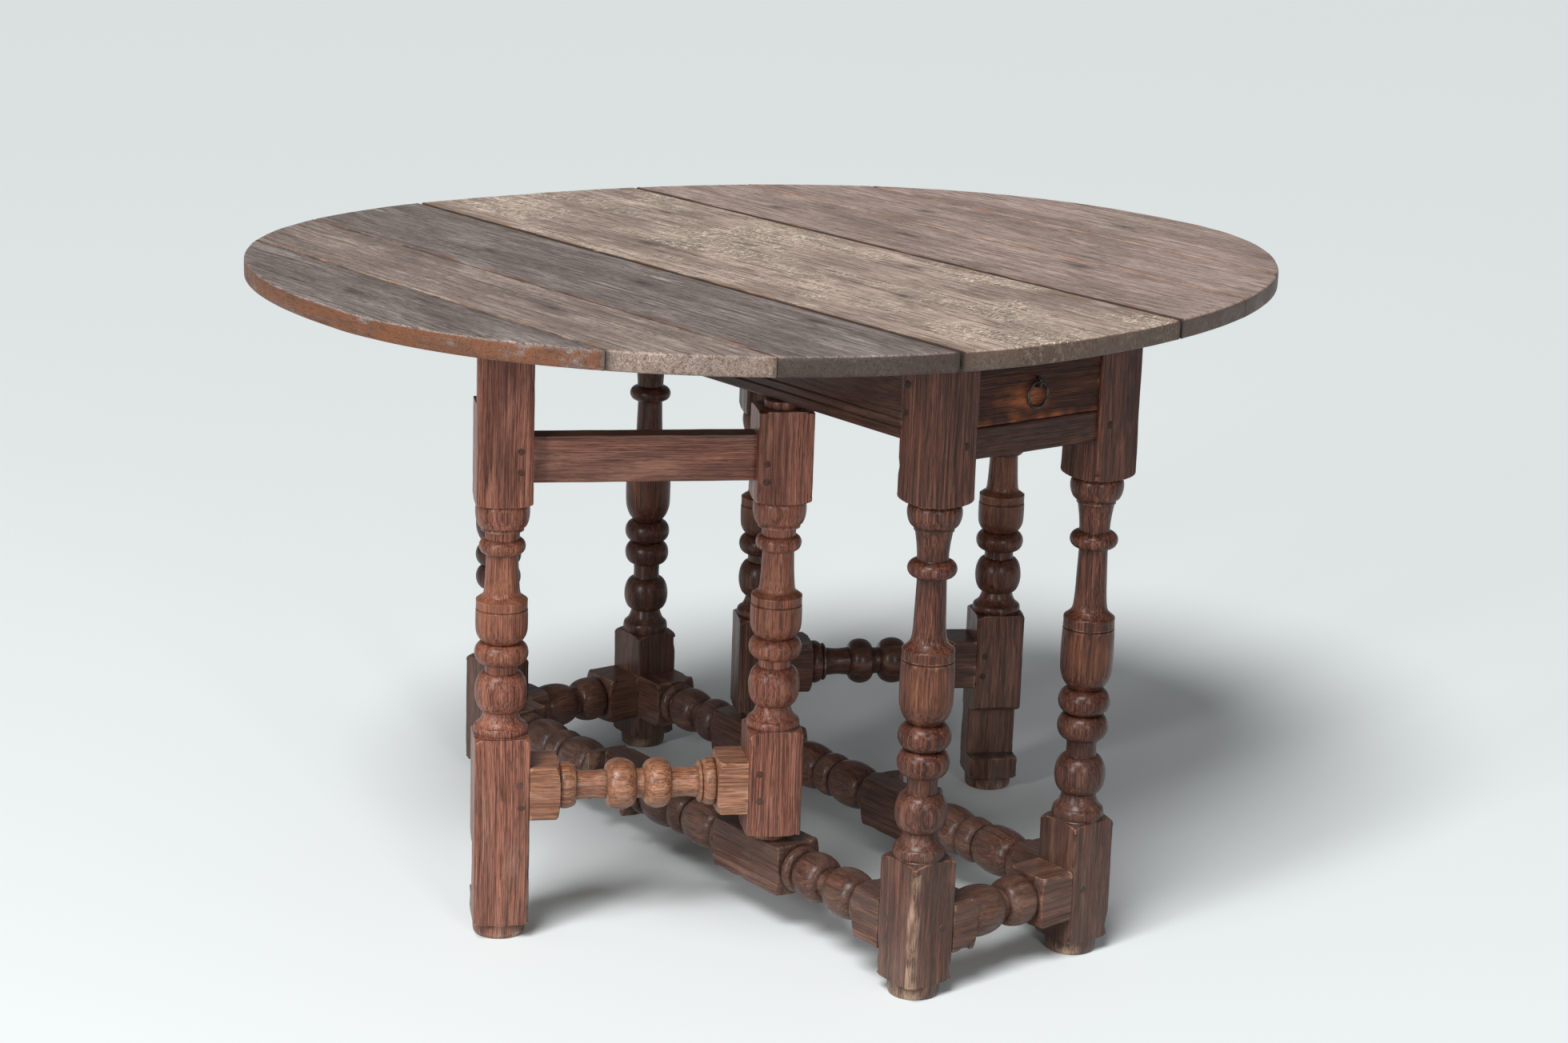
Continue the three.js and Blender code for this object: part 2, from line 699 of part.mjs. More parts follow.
function leafHinge(side, end) {
  const group = new THREE.Group();
  group.add(
    mesh(`hinge_${side}_${end}_fixed_plate`, fixedPlate(), wroughtIron()),
    mesh(`hinge_${side}_${end}_leaf_plate`, leafPlate(), wroughtIron()),
    mesh(`hinge_${side}_${end}_pin`, hingePin(), wroughtIron()),
  );
  group.position.set(LEAF_JOINT_X[side], end === 'front' ? -HINGE_Y : HINGE_Y, HINGE_AXIS_Z);
  return group;
}

// ---------------------------------------------------------------- drawer

const DRAWER_HALF = CLEAR_X / 2 - SLIDING_FIT;
const DRAWER_BACK_Y = DRAWER_FACE_Y + DRAWER_LENGTH;
const DRAWER_TOP = FRAME_TOP - 2 * SLIDING_FIT;
const DRAWER_BASE = DRAWER_FLOOR + FIT;

function drawerFront() {
  const front = block(
    [-DRAWER_HALF, DRAWER_HALF],
    [DRAWER_FACE_Y, DRAWER_FACE_Y + DRAWER_FRONT_THICKNESS],
    [DRAWER_BASE, DRAWER_TOP],
  );
  const shank = pin(STAPLE_WIRE + 2 * FIT, DRAWER_FRONT_THICKNESS + 2, 'y', PEG_SIDES);
  const start = DRAWER_FACE_Y - 1;
  const upper = shank.translate([RING_X, start, RING_PIVOT_Z + STAPLE_BEND]);
  const lower = shank.translate([RING_X, start, RING_PIVOT_Z - STAPLE_BEND]);
  return geometryOf(front.subtract(upper).subtract(lower));
}

function drawerSide() {
  const length = DRAWER_LENGTH - DRAWER_FRONT_THICKNESS - FIT;
  const height = DRAWER_TOP - DRAWER_SIDE_DROP - DRAWER_BASE;
  return new THREE.BoxGeometry(DRAWER_BOARD, length, height);
}

function drawerInside() {
  return 2 * (DRAWER_HALF - DRAWER_BOARD - FIT);
}

function drawerBack() {
  const base = DRAWER_BASE + DRAWER_BOTTOM_THICKNESS + FIT;
  return new THREE.BoxGeometry(drawerInside(), DRAWER_BOARD, DRAWER_TOP - DRAWER_SIDE_DROP - base);
}

function drawerBottom() {
  const length = DRAWER_LENGTH - DRAWER_FRONT_THICKNESS - FIT;
  return new THREE.BoxGeometry(drawerInside(), length, DRAWER_BOTTOM_THICKNESS);
}

function drawer() {
  const group = new THREE.Group();
  const middleY = DRAWER_FACE_Y + (DRAWER_LENGTH + DRAWER_FRONT_THICKNESS + FIT) / 2;
  const sideMiddle = (DRAWER_BASE + DRAWER_TOP - DRAWER_SIDE_DROP) / 2;
  group.add(mesh('drawer_front', drawerFront(), drawerOak()));
  for (const [name, sign] of [['left', -1], ['right', 1]]) {
    const side = mesh(`drawer_side_${name}`, drawerSide(), hiddenOak());
    side.position.set(sign * (DRAWER_HALF - DRAWER_BOARD / 2), middleY, sideMiddle);
    group.add(side);
  }
  const back = mesh('drawer_back', drawerBack(), hiddenOak());
  const backBase = DRAWER_BASE + DRAWER_BOTTOM_THICKNESS + FIT;
  const backMiddle = (backBase + DRAWER_TOP - DRAWER_SIDE_DROP) / 2;
  back.position.set(0, DRAWER_BACK_Y - DRAWER_BOARD / 2, backMiddle);
  const bottom = mesh('drawer_bottom', drawerBottom(), hiddenOak());
  bottom.position.set(0, middleY, DRAWER_BASE + DRAWER_BOTTOM_THICKNESS / 2);
  group.add(back, bottom);
  return group;
}

// An L-section runner: the drawer side slides on its ledge and along its upright.
function drawerRunner() {
  const outer = PIVOT_X - APRON_THICKNESS / 2 - FIT;
  const guide = DRAWER_HALF + SLIDING_FIT;
  const ledge = DRAWER_HALF - RUNNER_LEDGE;
  const section = new THREE.Shape([
    new THREE.Vector2(ledge, 0),
    new THREE.Vector2(outer, 0),
    new THREE.Vector2(outer, RUNNER_HEIGHT + GUIDE_HEIGHT),
    new THREE.Vector2(guide, RUNNER_HEIGHT + GUIDE_HEIGHT),
    new THREE.Vector2(guide, RUNNER_HEIGHT),
    new THREE.Vector2(ledge, RUNNER_HEIGHT),
  ]);
  const length = CLEAR_Y - 2 * FIT;
  const strip = new THREE.ExtrudeGeometry(section, { depth: length, bevelEnabled: false });
  return geometryOf(solid(strip.translate(0, 0, -length / 2).rotateX(Math.PI / 2)));
}

// ---------------------------------------------------------------- ring pull

function pullRing() {
  return new THREE.TorusGeometry(RING_RADIUS, RING_WIRE, WIRE_SIDES, RING_SIDES);
}

// A staple bent from wire: two shanks through the drawer front, clinched inside.
function pullStaple() {
  const inside = DRAWER_FRONT_THICKNESS + RING_WIRE + SLIDING_FIT + STAPLE_WIRE + FIT;
  const bend = STAPLE_BEND;
  const clinch = 7;
  const at = (y, z) => new THREE.Vector3(0, y, z);
  const path = new THREE.CatmullRomCurve3([
    at(inside, bend + clinch),
    at(inside, bend + 2),
    at(inside - 2, bend),
    at(inside / 2, bend),
    at(2, bend),
    at(-bend * 0.5, bend * 0.87),
    at(-bend, 0),
    at(-bend * 0.5, -bend * 0.87),
    at(2, -bend),
    at(inside / 2, -bend),
    at(inside - 2, -bend),
    at(inside, -bend - 2),
    at(inside, -bend - clinch),
  ]);
  const section = new THREE.Shape();
  section.absarc(0, 0, STAPLE_WIRE, 0, Math.PI * 2);
  return new THREE.ExtrudeGeometry(section, {
    steps: STAPLE_STEPS, curveSegments: WIRE_SIDES, bevelEnabled: false, extrudePath: path,
  });
}

// ---------------------------------------------------------------- assembly

const table = new THREE.Group();
table.position.set(FRAME_SHIFT_X, FRAME_SHIFT_Y, 0);

for (const [sideName, sideX] of [['left', -1], ['right', 1]]) {
  for (const [endName, sideY] of [['front', -1], ['back', 1]]) {
    const leg = mesh(`leg_${endName}_${sideName}`, frameLeg(sideX, sideY), frameOak());
    leg.position.set(sideX * LEG_X, sideY * LEG_Y, 0);
    table.add(leg);
    apronPegHeights().forEach((z, i) => {
      const peg = mesh(`peg_${endName}_${sideName}_${i + 1}`, apronPeg(), frameOak());
      const outerFace = sideX > 0 ? LEG_X + LEG_HALF - PEG_LENGTH : -LEG_X - LEG_HALF;
      peg.position.set(outerFace, sideY * (LEG_Y - LEG_HALF + pegInset()), z);
      table.add(peg);
    });
  }

  const apron = mesh(`side_apron_${sideName}`, sideApron(sideX * PIVOT_Y[sideName]), frameOak());
  apron.position.x = sideX * PIVOT_X;
  table.add(apron);

  // The right-hand stretcher is the left-hand one turned half way round.
  const stretcher = mesh(`long_stretcher_${sideName}`, longStretcher(PIVOT_Y[sideName]), frameOak());
  stretcher.position.set(sideX * LEG_X, 0, STRETCHER_CENTRE);
  stretcher.rotation.z = sideX < 0 ? 0 : Math.PI;
  table.add(stretcher);

  const openGate = gate(sideName);
  openGate.position.set(sideX * PIVOT_X, sideX * PIVOT_Y[sideName], 0);
  openGate.rotation.z = GATE_OPEN_ANGLE + (sideX < 0 ? 0 : Math.PI);
  table.add(openGate);

  const wing = new THREE.Group();
  wing.add(leaf(sideName, sideX), leafHinge(sideName, 'front'), leafHinge(sideName, 'back'));
  wing.rotation.z = sideX < 0 ? Math.PI : 0;
  table.add(wing);

  const runner = mesh(`drawer_runner_${sideName}`, drawerRunner(), hiddenOak());
  runner.position.z = DRAWER_FLOOR - RUNNER_HEIGHT;
  runner.rotation.z = sideX < 0 ? Math.PI : 0;
  table.add(runner);
}

for (const [endName, sideY] of [['front', -1], ['back', 1]]) {
  const stretcher = mesh(`end_stretcher_${endName}`, endStretcher(), frameOak());
  stretcher.position.set(0, sideY * LEG_Y, STRETCHER_CENTRE);
  table.add(stretcher);
}

const drawerRailSpan = endRailSpan(-1);
const drawerRail = mesh('drawer_rail', endRail(DRAWER_RAIL_DEPTH, drawerRailSpan.heights), frameOak());
drawerRail.position.y = -drawerRailSpan.centreY;

const backApronSpan = endRailSpan(1);
const backApron = mesh('back_apron', endRail(APRON_THICKNESS, backApronSpan.heights), frameOak());
backApron.position.y = backApronSpan.centreY;

const centre = mesh(
  'top_centre_board',
  topBoard(1, LEAF_GAP / 2 - LEAF_JOINT_X.left, LEAF_JOINT_X.right - LEAF_GAP / 2, 8),
  topOak(),
);
centre.position.z = UNDERSIDE;

const staple = mesh('pull_staple', pullStaple(), wroughtIron());
staple.position.set(RING_X, RING_PIVOT_Y, RING_PIVOT_Z);

const ring = mesh('pull_ring', pullRing(), wroughtIron());
ring.position.set(RING_X, RING_PIVOT_Y, RING_PIVOT_Z - RING_RADIUS);
ring.rotation.x = Math.PI / 2;

table.add(drawerRail, backApron, centre, drawer(), staple, ring);

export default table;
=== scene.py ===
"""Looks of the oak gateleg table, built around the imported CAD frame."""
import math

import bpy
import numpy as np
from mathutils import Matrix, Vector, noise


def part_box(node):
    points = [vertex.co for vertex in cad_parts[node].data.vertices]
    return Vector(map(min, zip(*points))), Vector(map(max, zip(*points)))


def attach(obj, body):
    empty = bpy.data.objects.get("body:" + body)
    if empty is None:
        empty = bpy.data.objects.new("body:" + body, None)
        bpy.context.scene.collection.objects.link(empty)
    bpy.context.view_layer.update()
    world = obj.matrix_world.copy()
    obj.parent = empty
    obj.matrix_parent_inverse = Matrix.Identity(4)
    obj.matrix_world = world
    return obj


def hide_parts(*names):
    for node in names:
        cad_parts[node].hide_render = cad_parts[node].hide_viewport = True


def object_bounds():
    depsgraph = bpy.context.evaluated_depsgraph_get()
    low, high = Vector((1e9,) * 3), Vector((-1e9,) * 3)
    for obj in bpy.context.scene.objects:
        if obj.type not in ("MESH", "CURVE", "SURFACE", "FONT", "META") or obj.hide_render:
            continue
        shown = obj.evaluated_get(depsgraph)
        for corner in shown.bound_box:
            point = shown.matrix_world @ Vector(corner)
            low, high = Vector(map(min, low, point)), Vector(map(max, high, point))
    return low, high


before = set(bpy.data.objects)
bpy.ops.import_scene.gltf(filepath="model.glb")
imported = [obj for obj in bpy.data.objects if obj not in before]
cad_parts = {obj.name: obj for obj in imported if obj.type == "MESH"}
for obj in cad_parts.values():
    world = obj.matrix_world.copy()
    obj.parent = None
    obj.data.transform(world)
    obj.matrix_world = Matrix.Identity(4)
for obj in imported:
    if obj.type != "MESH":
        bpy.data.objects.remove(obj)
cad_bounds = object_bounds()

MM = 0.001

# ---------------------------------------------------------------- camera, floor and light

VIEW_YAW = math.radians(37.934)      # clockwise from +Y, seen from above
VIEW_PITCH = math.radians(14.713)    # downwards
VIEW_ROLL = math.radians(1.944)
VIEW_PLACE = Vector((-2.192, -2.8223, 1.348))
VIEW_LENS = 70.81

WORLD_COLOR, WORLD_STRENGTH = (0.95, 0.97, 1.0, 1), 0.24
FLOOR_COLOR, FLOOR_REACH = (0.62, 0.65, 0.65, 1), 40


def add_object(name, data, matrix=None):
    item = bpy.data.objects.new(name, data)
    if matrix is not None:
        item.matrix_world = matrix
    bpy.context.scene.collection.objects.link(item)
    return item


def add_camera():
    forward = Vector((
        math.sin(VIEW_YAW) * math.cos(VIEW_PITCH),
        math.cos(VIEW_YAW) * math.cos(VIEW_PITCH),
        -math.sin(VIEW_PITCH),
    ))
    level = Vector((math.cos(VIEW_YAW), -math.sin(VIEW_YAW), 0))
    upright = level.cross(forward)
    right = math.cos(VIEW_ROLL) * level + math.sin(VIEW_ROLL) * upright
    up = math.cos(VIEW_ROLL) * upright - math.sin(VIEW_ROLL) * level
    data = bpy.data.cameras.new("camera")
    data.lens = VIEW_LENS
    data.sensor_width = 36
    data.clip_end = 100
    turn = Matrix((right, up, -forward)).transposed().to_4x4()
    bpy.context.scene.camera = add_object("camera", data, Matrix.Translation(VIEW_PLACE) @ turn)


def add_light(name, kind, place, target, power):
    data = bpy.data.lights.new(name, kind)
    data.energy = power
    aim = (Vector(target) - Vector(place)).to_track_quat("-Z", "Y").to_matrix().to_4x4()
    add_object(name, data, Matrix.Translation(place) @ aim)
    return data


def add_studio():
    world = bpy.data.worlds.new("studio")
    world.use_nodes = True
    world.node_tree.nodes["Background"].inputs["Color"].default_value = WORLD_COLOR
    world.node_tree.nodes["Background"].inputs["Strength"].default_value = WORLD_STRENGTH
    bpy.context.scene.world = world
    bpy.context.scene.view_settings.view_transform = "Standard"
    add_light("overhead", "SUN", (-1.5, -0.7, 2.4), (0, 0, 0), 3.5).angle = math.radians(26)
    softboxes = (("key", (-4.2, -1.1, 1.7), 1.7, 96), ("front", (-1.5, -4.4, 1.7), 1.6, 54))
    for name, place, height, power in softboxes:
        softbox = add_light(name, "AREA", place, (0, 0, 0.6), power)
        softbox.shape = "RECTANGLE"
        softbox.size, softbox.size_y = 0.8, height

    floor_mesh = bpy.data.meshes.new("floor")
    outline = [(x * FLOOR_REACH, y * FLOOR_REACH, 0) for x, y in ((-1, -1), (1, -1), (1, 1), (-1, 1))]
    floor_mesh.from_pydata(outline, [], [(0, 1, 2, 3)])
    floor = add_object("floor", floor_mesh)
    pale = bpy.data.materials.new("pale_floor")
    pale.use_nodes = True
    shader = pale.node_tree.nodes["Principled BSDF"]
    shader.inputs["Base Color"].default_value = FLOOR_COLOR
    shader.inputs["Roughness"].default_value = 0.9
    floor_mesh.materials.append(pale)


# ---------------------------------------------------------------- materials


class Graph:
    """Short names for building a material's nodes."""

    def __init__(self, name):
        self.material = bpy.data.materials.new(name)
        self.material.use_nodes = True
        self.tree = self.material.node_tree
        self.shader = self.tree.nodes["Principled BSDF"]

    def node(self, kind, **settings):
        node = self.tree.nodes.new(kind)
        for key, value in settings.items():
            setattr(node, key, value)
        return node

    def put(self, socket, value):
        if isinstance(value, bpy.types.NodeSocket):
            self.tree.links.new(value, socket)
        elif isinstance(value, (tuple, list)) and len(value) == 3 and socket.type == "RGBA":
            socket.default_value = (*value, 1)
        else:
            socket.default_value = value

    def attribute(self, name):
        return self.node("ShaderNodeAttribute", attribute_name=name).outputs["Vector"]

    def parts(self, vector):
        node = self.node("ShaderNodeSeparateXYZ")
        self.put(node.inputs[0], vector)
        return node.outputs

    def vector(self, operation, a, b=None):
        node = self.node("ShaderNodeVectorMath", operation=operation)
        self.put(node.inputs[0], a)
        if b is not None:
            self.put(node.inputs[1], b)
        return node.outputs["Value"] if operation == "LENGTH" else node.outputs["Vector"]

    def math(self, operation, a, b=0.0, clamp=False):
        node = self.node("ShaderNodeMath", operation=operation, use_clamp=clamp)
        self.put(node.inputs[0], a)
        self.put(node.inputs[1], b)
        return node.outputs[0]

    def times(self, a, b, clamp=False):
        return self.math("MULTIPLY", a, b, clamp)

    def plus(self, a, b, clamp=False):
        return self.math("ADD", a, b, clamp)

    def noise(self, vector, stretch, detail=2.0, roughness=0.5, distortion=0.0):
        node = self.node("ShaderNodeTexNoise")
        self.put(node.inputs["Vector"], self.vector("MULTIPLY", vector, stretch))
        node.inputs["Scale"].default_value = 1
        node.inputs["Detail"].default_value = detail
        node.inputs["Roughness"].default_value = roughness
        node.inputs["Distortion"].default_value = distortion
        return node.outputs["Fac"]

    def bands(self, distance, density, detail=2.0):
        node = self.node("ShaderNodeTexNoise", noise_dimensions="1D")
        self.put(node.inputs["W"], self.math("MULTIPLY", distance, density))
        node.inputs["Scale"].default_value = 1
        node.inputs["Detail"].default_value = detail
        return node.outputs["Fac"]

    def between(self, value, low, high, start=0.0, end=1.0):
        node = self.node("ShaderNodeMapRange", interpolation_type="SMOOTHSTEP")
        for socket, setting in zip(node.inputs, (value, low, high, start, end)):
            self.put(socket, setting)
        return node.outputs[0]

    def mix(self, share, a, b, blend="MIX"):
        node = self.node("ShaderNodeMix", data_type="RGBA", blend_type=blend, clamp_factor=True)
        self.put(node.inputs["Factor"], share)
        self.put(node.inputs[6], a)
        self.put(node.inputs[7], b)
        return node.outputs[2]

    def bump(self, height, strength, distance):
        node = self.node("ShaderNodeBump")
        node.inputs["Strength"].default_value = strength
        node.inputs["Distance"].default_value = distance
        self.put(node.inputs["Height"], height)
        self.put(self.shader.inputs["Normal"], node.outputs["Normal"])


GRAIN_SCALE = 1.5           # above 1 the grain is finer than its attribute
RING_DENSITY = 460          # growth rings for each metre from the pith
DUST_COLOR = (0.19, 0.15, 0.125)
COAT_ROUGHNESS = 0.27
RELIEF_DEPTH = 0.0007       # of oak's pores and fibres, in metres


def oak(name, dark, mid, light, worn, warm, fleck=0.0, rough=0.40, wear=1.0, coat=0.15, relief=1.0,
        shine=0.2):
    """Old waxed oak. The grain attribute holds (across, across, along) in metres; mask holds sharp edges,
    hollows (darkened as painted shade) and worn places; tint holds dust, orange wear and dark stain."""
    g = Graph(name)
    grain = g.vector("MULTIPLY", g.attribute("grain"), (GRAIN_SCALE,) * 3)
    edge, hollow_shade, pale = g.parts(g.attribute("mask"))
    dust, orange, stain = g.parts(g.attribute("tint"))

    drift = g.node("ShaderNodeTexNoise")
    g.put(drift.inputs["Vector"], g.vector("MULTIPLY", grain, (9.0, 9.0, 2.2)))
    drift.inputs["Scale"].default_value = 1
    drift.inputs["Detail"].default_value = 2
    centred = g.vector("SUBTRACT", drift.outputs["Color"], (0.5, 0.5, 0.5))
    bend = g.vector("MULTIPLY", centred, (0.022, 0.022, 0.03))
    wood = g.vector("ADD", grain, bend)
    pith = g.vector("MULTIPLY", g.vector("ADD", wood, (0.11, 0.06, 0)), (1, 1, 0))
    rings = g.bands(g.vector("LENGTH", pith), RING_DENSITY, 4)
    fibres = g.noise(wood, (620, 620, 10), 5, 0.65)
    streaks = g.noise(wood, (150, 150, 3.2), 5, 0.6)
    pores = g.between(g.noise(wood, (900, 900, 38), 1.5), 0.57, 0.68)
    clouds = g.noise(grain, (8, 8, 2.2), 4, 0.6)
    blotches = g.noise(wood, (38, 38, 7), 4, 0.62)
    specks = g.noise(grain, (240, 240, 170), 2, 0.5)

    checks = g.between(g.noise(wood, (190, 190, 6), 3, 0.6), 0.58, 0.66)
    tone = g.plus(g.times(rings, 0.14), g.times(fibres, 0.60))
    tone = g.plus(tone, g.times(streaks, 0.36))
    color = g.mix(g.between(tone, 0.45, 0.60), dark, mid)
    color = g.mix(g.between(tone, 0.56, 0.70, 0.0, 0.95), color, light)
    color = g.mix(g.between(clouds, 0.35, 0.62, 0.55, 0.0), color, dark)
    color = g.mix(g.between(blotches, 0.54, 0.72, 0.0, 0.5), color, light)

    if fleck:
        ray = g.noise(g.vector("ADD", wood, bend), (60, 70, 220), 2, 0.55, 1.6)
        patch = g.between(g.noise(grain, (9, 9, 5), 3, 0.55), 0.42, 0.60)
        rays = g.times(g.between(ray, 0.52, 0.60), patch)
        color = g.mix(g.times(rays, fleck), color, worn)

    color = g.mix(g.times(orange, g.between(blotches, 0.26, 0.50), True), color, warm)
    patchy = g.times(g.math("SUBTRACT", blotches, 0.5), 1.1)
    rub = g.plus(g.times(edge, 0.75 * wear), patchy)
    rubbed = g.between(rub, 0.34, 0.62)
    raised = g.plus(fibres, g.times(pale, 0.4))
    bare = g.times(pale, g.between(raised, 0.55, 0.80), True)
    color = g.mix(g.times(rubbed, 0.55), color, warm)
    color = g.mix(g.math("MAXIMUM", bare, g.times(rubbed, 0.30)), color, worn)
    color = g.mix(g.times(pores, 0.62), color, tuple(0.35 * c for c in dark))
    color = g.mix(g.times(checks, 0.5), color, tuple(0.5 * c for c in dark))
    # Hollows are darkened as painted shade, less where the blotches are light; the tint's dark stain joins it.
    hollow_shade_amount = g.times(hollow_shade, g.between(blotches, 0.30, 0.58, 1.0, 0.45))
    stain_and_hollow_shade = g.math("MAXIMUM", hollow_shade_amount, stain)
    color = g.mix(stain_and_hollow_shade, color, tuple(0.30 * c for c in dark))
    color = g.mix(g.between(specks, 0.70, 0.76, 0.0, 0.35), color, tuple(0.25 * c for c in dark))
    haze = g.times(dust, g.between(blotches, 0.30, 0.66, 0.25, 1.0), True)
    color = g.mix(haze, color, DUST_COLOR)
    g.put(g.shader.inputs["Base Color"], color)

    gloss = g.plus(rough, g.between(blotches, 0.35, 0.70, -0.07, 0.12))
    gloss = g.plus(gloss, g.times(g.math("MAXIMUM", bare, haze), 0.30))
    gloss = g.plus(gloss, g.times(pores, 0.15), True)
    g.put(g.shader.inputs["Roughness"], gloss)
    g.shader.inputs["Specular IOR Level"].default_value = shine
    g.shader.inputs["Coat Weight"].default_value = coat
    g.shader.inputs["Coat Roughness"].default_value = COAT_ROUGHNESS

    height = g.math("SUBTRACT", g.times(fibres, 0.9), g.times(pores, 0.7))
    height = g.math("SUBTRACT", height, g.times(checks, 0.8))
    height = g.plus(height, g.times(blotches, 1.3))
    g.bump(height, 0.55 * relief, RELIEF_DEPTH)
    return g.material


def wrought_iron(name):
    g = Graph(name)
    place = g.node("ShaderNodeTexCoord").outputs["Object"]
    scale = g.noise(place, (900, 900, 900), 4, 0.6)
    forge = g.noise(place, (160, 160, 160), 3, 0.55)
    color = g.mix(g.between(forge, 0.35, 0.65), (0.018, 0.016, 0.015), (0.060, 0.052, 0.047))
    color = g.mix(g.between(scale, 0.54, 0.70, 0.0, 0.8), color, (0.115, 0.055, 0.028))
    g.put(g.shader.inputs["Base Color"], color)
    g.shader.inputs["Metallic"].default_value = 0.75
    g.put(g.shader.inputs["Roughness"], g.between(scale, 0.35, 0.68, 0.36, 0.66))
    g.bump(g.plus(forge, g.times(scale, 0.5)), 0.6, 0.0004)
    return g.material


LOOKS = {
    "frame_dark": ("frame_oak", oak(
        "frame_dark", (0.020, 0.007, 0.005), (0.092, 0.031, 0.018), (0.185, 0.074, 0.045),
        (0.42, 0.27, 0.18), (0.21, 0.078, 0.035), rough=0.34, coat=0.26, shine=0.10)),
    # A lighter copy of the frame's dark oak for the gate on the lit left side: painted light.
    "gate_red": ("gate_oak", oak(
        "gate_red", (0.062, 0.019, 0.012), (0.222, 0.078, 0.048), (0.340, 0.150, 0.100),
        (0.46, 0.32, 0.24), (0.28, 0.11, 0.055), rough=0.36, coat=0.24, shine=0.12)),
    # A still lighter copy for the stretcher of the gate on the lit side: painted light.
    "gate_orange": ("gate_oak", oak(
        "gate_orange", (0.105, 0.036, 0.017), (0.330, 0.138, 0.070), (0.500, 0.262, 0.155),
        (0.56, 0.38, 0.26), (0.36, 0.16, 0.07), rough=0.38, coat=0.35, shine=0.18)),
    "top_dark": ("top_oak", oak(
        "top_dark", (0.090, 0.067, 0.058), (0.240, 0.198, 0.182), (0.370, 0.310, 0.285),
        (0.60, 0.49, 0.42), (0.150, 0.056, 0.024), fleck=0.15, rough=0.50, coat=0.08, wear=1.2, relief=1.4)),
    "top_grey": ("top_oak", oak(
        "top_grey", (0.120, 0.088, 0.073), (0.330, 0.258, 0.222), (0.460, 0.370, 0.320),
        (0.58, 0.47, 0.38), (0.28, 0.14, 0.07), fleck=0.25, rough=0.50, coat=0.08, wear=1.2, relief=1.4)),
    "top_red": ("top_oak", oak(
        "top_red", (0.150, 0.103, 0.086), (0.410, 0.305, 0.262), (0.540, 0.420, 0.370),
        (0.60, 0.49, 0.40), (0.30, 0.15, 0.08), fleck=0.30, rough=0.50, coat=0.08, wear=1.2, relief=1.3)),
    "top_fleck": ("top_oak", oak(
        "top_fleck", (0.145, 0.100, 0.078), (0.440, 0.332, 0.270), (0.640, 0.510, 0.420),
        (0.78, 0.66, 0.52), (0.30, 0.15, 0.08), fleck=0.9, rough=0.48, coat=0.10, wear=1.2, relief=1.4)),
    "drawer_dark": ("drawer_oak", oak(
        "drawer_dark", (0.012, 0.004, 0.003), (0.048, 0.015, 0.008), (0.100, 0.034, 0.017),
        (0.36, 0.20, 0.11), (0.27, 0.080, 0.026), rough=0.42, coat=0.16, shine=0.06)),
    "inner_dry": ("inner_oak", oak(
        "inner_dry", (0.13, 0.080, 0.048), (0.27, 0.185, 0.118), (0.38, 0.275, 0.185),
        (0.50, 0.38, 0.27), (0.30, 0.17, 0.09), rough=0.66, coat=0.0, relief=1.2)),
    "iron": ("iron", wrought_iron("iron_forged")),
}

# ---------------------------------------------------------------- mesh building


def unit(value):
    return min(1, max(0, value))


def wobble(*place):
    return noise.noise(Vector((place + (0.0, 0.0, 0.0))[:3]))


def key_of(name):
    """A fixed number for each piece, so that no two share the same grain or wear."""
    return sum((i + 3) * ord(c) for i, c in enumerate(name)) % 997


def center_of(node):
    low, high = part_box(node)
    return (low + high) / 2


def edge_masks(mesh):
    """How sharply each vertex stands out from, or lies below, its neighbours; the hollow mask darkens as painted
    shade.
    """
    count = len(mesh.vertices)
    place = np.empty(count * 3)
    mesh.vertices.foreach_get("co", place)
    place = place.reshape(-1, 3)
    normal = np.empty(count * 3)
    mesh.vertex_normals.foreach_get("vector", normal)
    normal = normal.reshape(-1, 3)
    ends = np.empty(len(mesh.edges) * 2, int)
    mesh.edges.foreach_get("vertices", ends)
    a, b = ends.reshape(-1, 2).T
    step = place[b] - place[a]
    length = np.maximum(np.linalg.norm(step, axis=1), 1e-9)[:, None]
    step = step / length
    total = np.zeros(count)
    shares = np.zeros(count)
    for here, way in ((a, step), (b, -step)):
        np.add.at(total, here, (way * normal[here]).sum(1))
        np.add.at(shares, here, 1)
    bend = total / np.maximum(shares, 1)
    edge = np.clip((-bend - 0.05) / 0.25, 0, 1)
    hollow_shade = np.clip((bend - 0.03) / 0.13, 0, 1)
    for _ in range(2):
        for mask in (edge, hollow_shade):
            spread = np.zeros(count)
            np.add.at(spread, a, mask[b])
            np.add.at(spread, b, mask[a])
            mask[:] = np.maximum(mask * 0.85, 0.5 * mask + 0.5 * spread / np.maximum(shares, 1))
    return edge, hollow_shade


FLOOR_DUST, DUST_HEIGHT = 0.34, 0.30      # at the floor, and the height in metres where it ends
GRAIN_SHIFT = (0.13, 0.17, 0.61)          # metres between the woods of differently named pieces


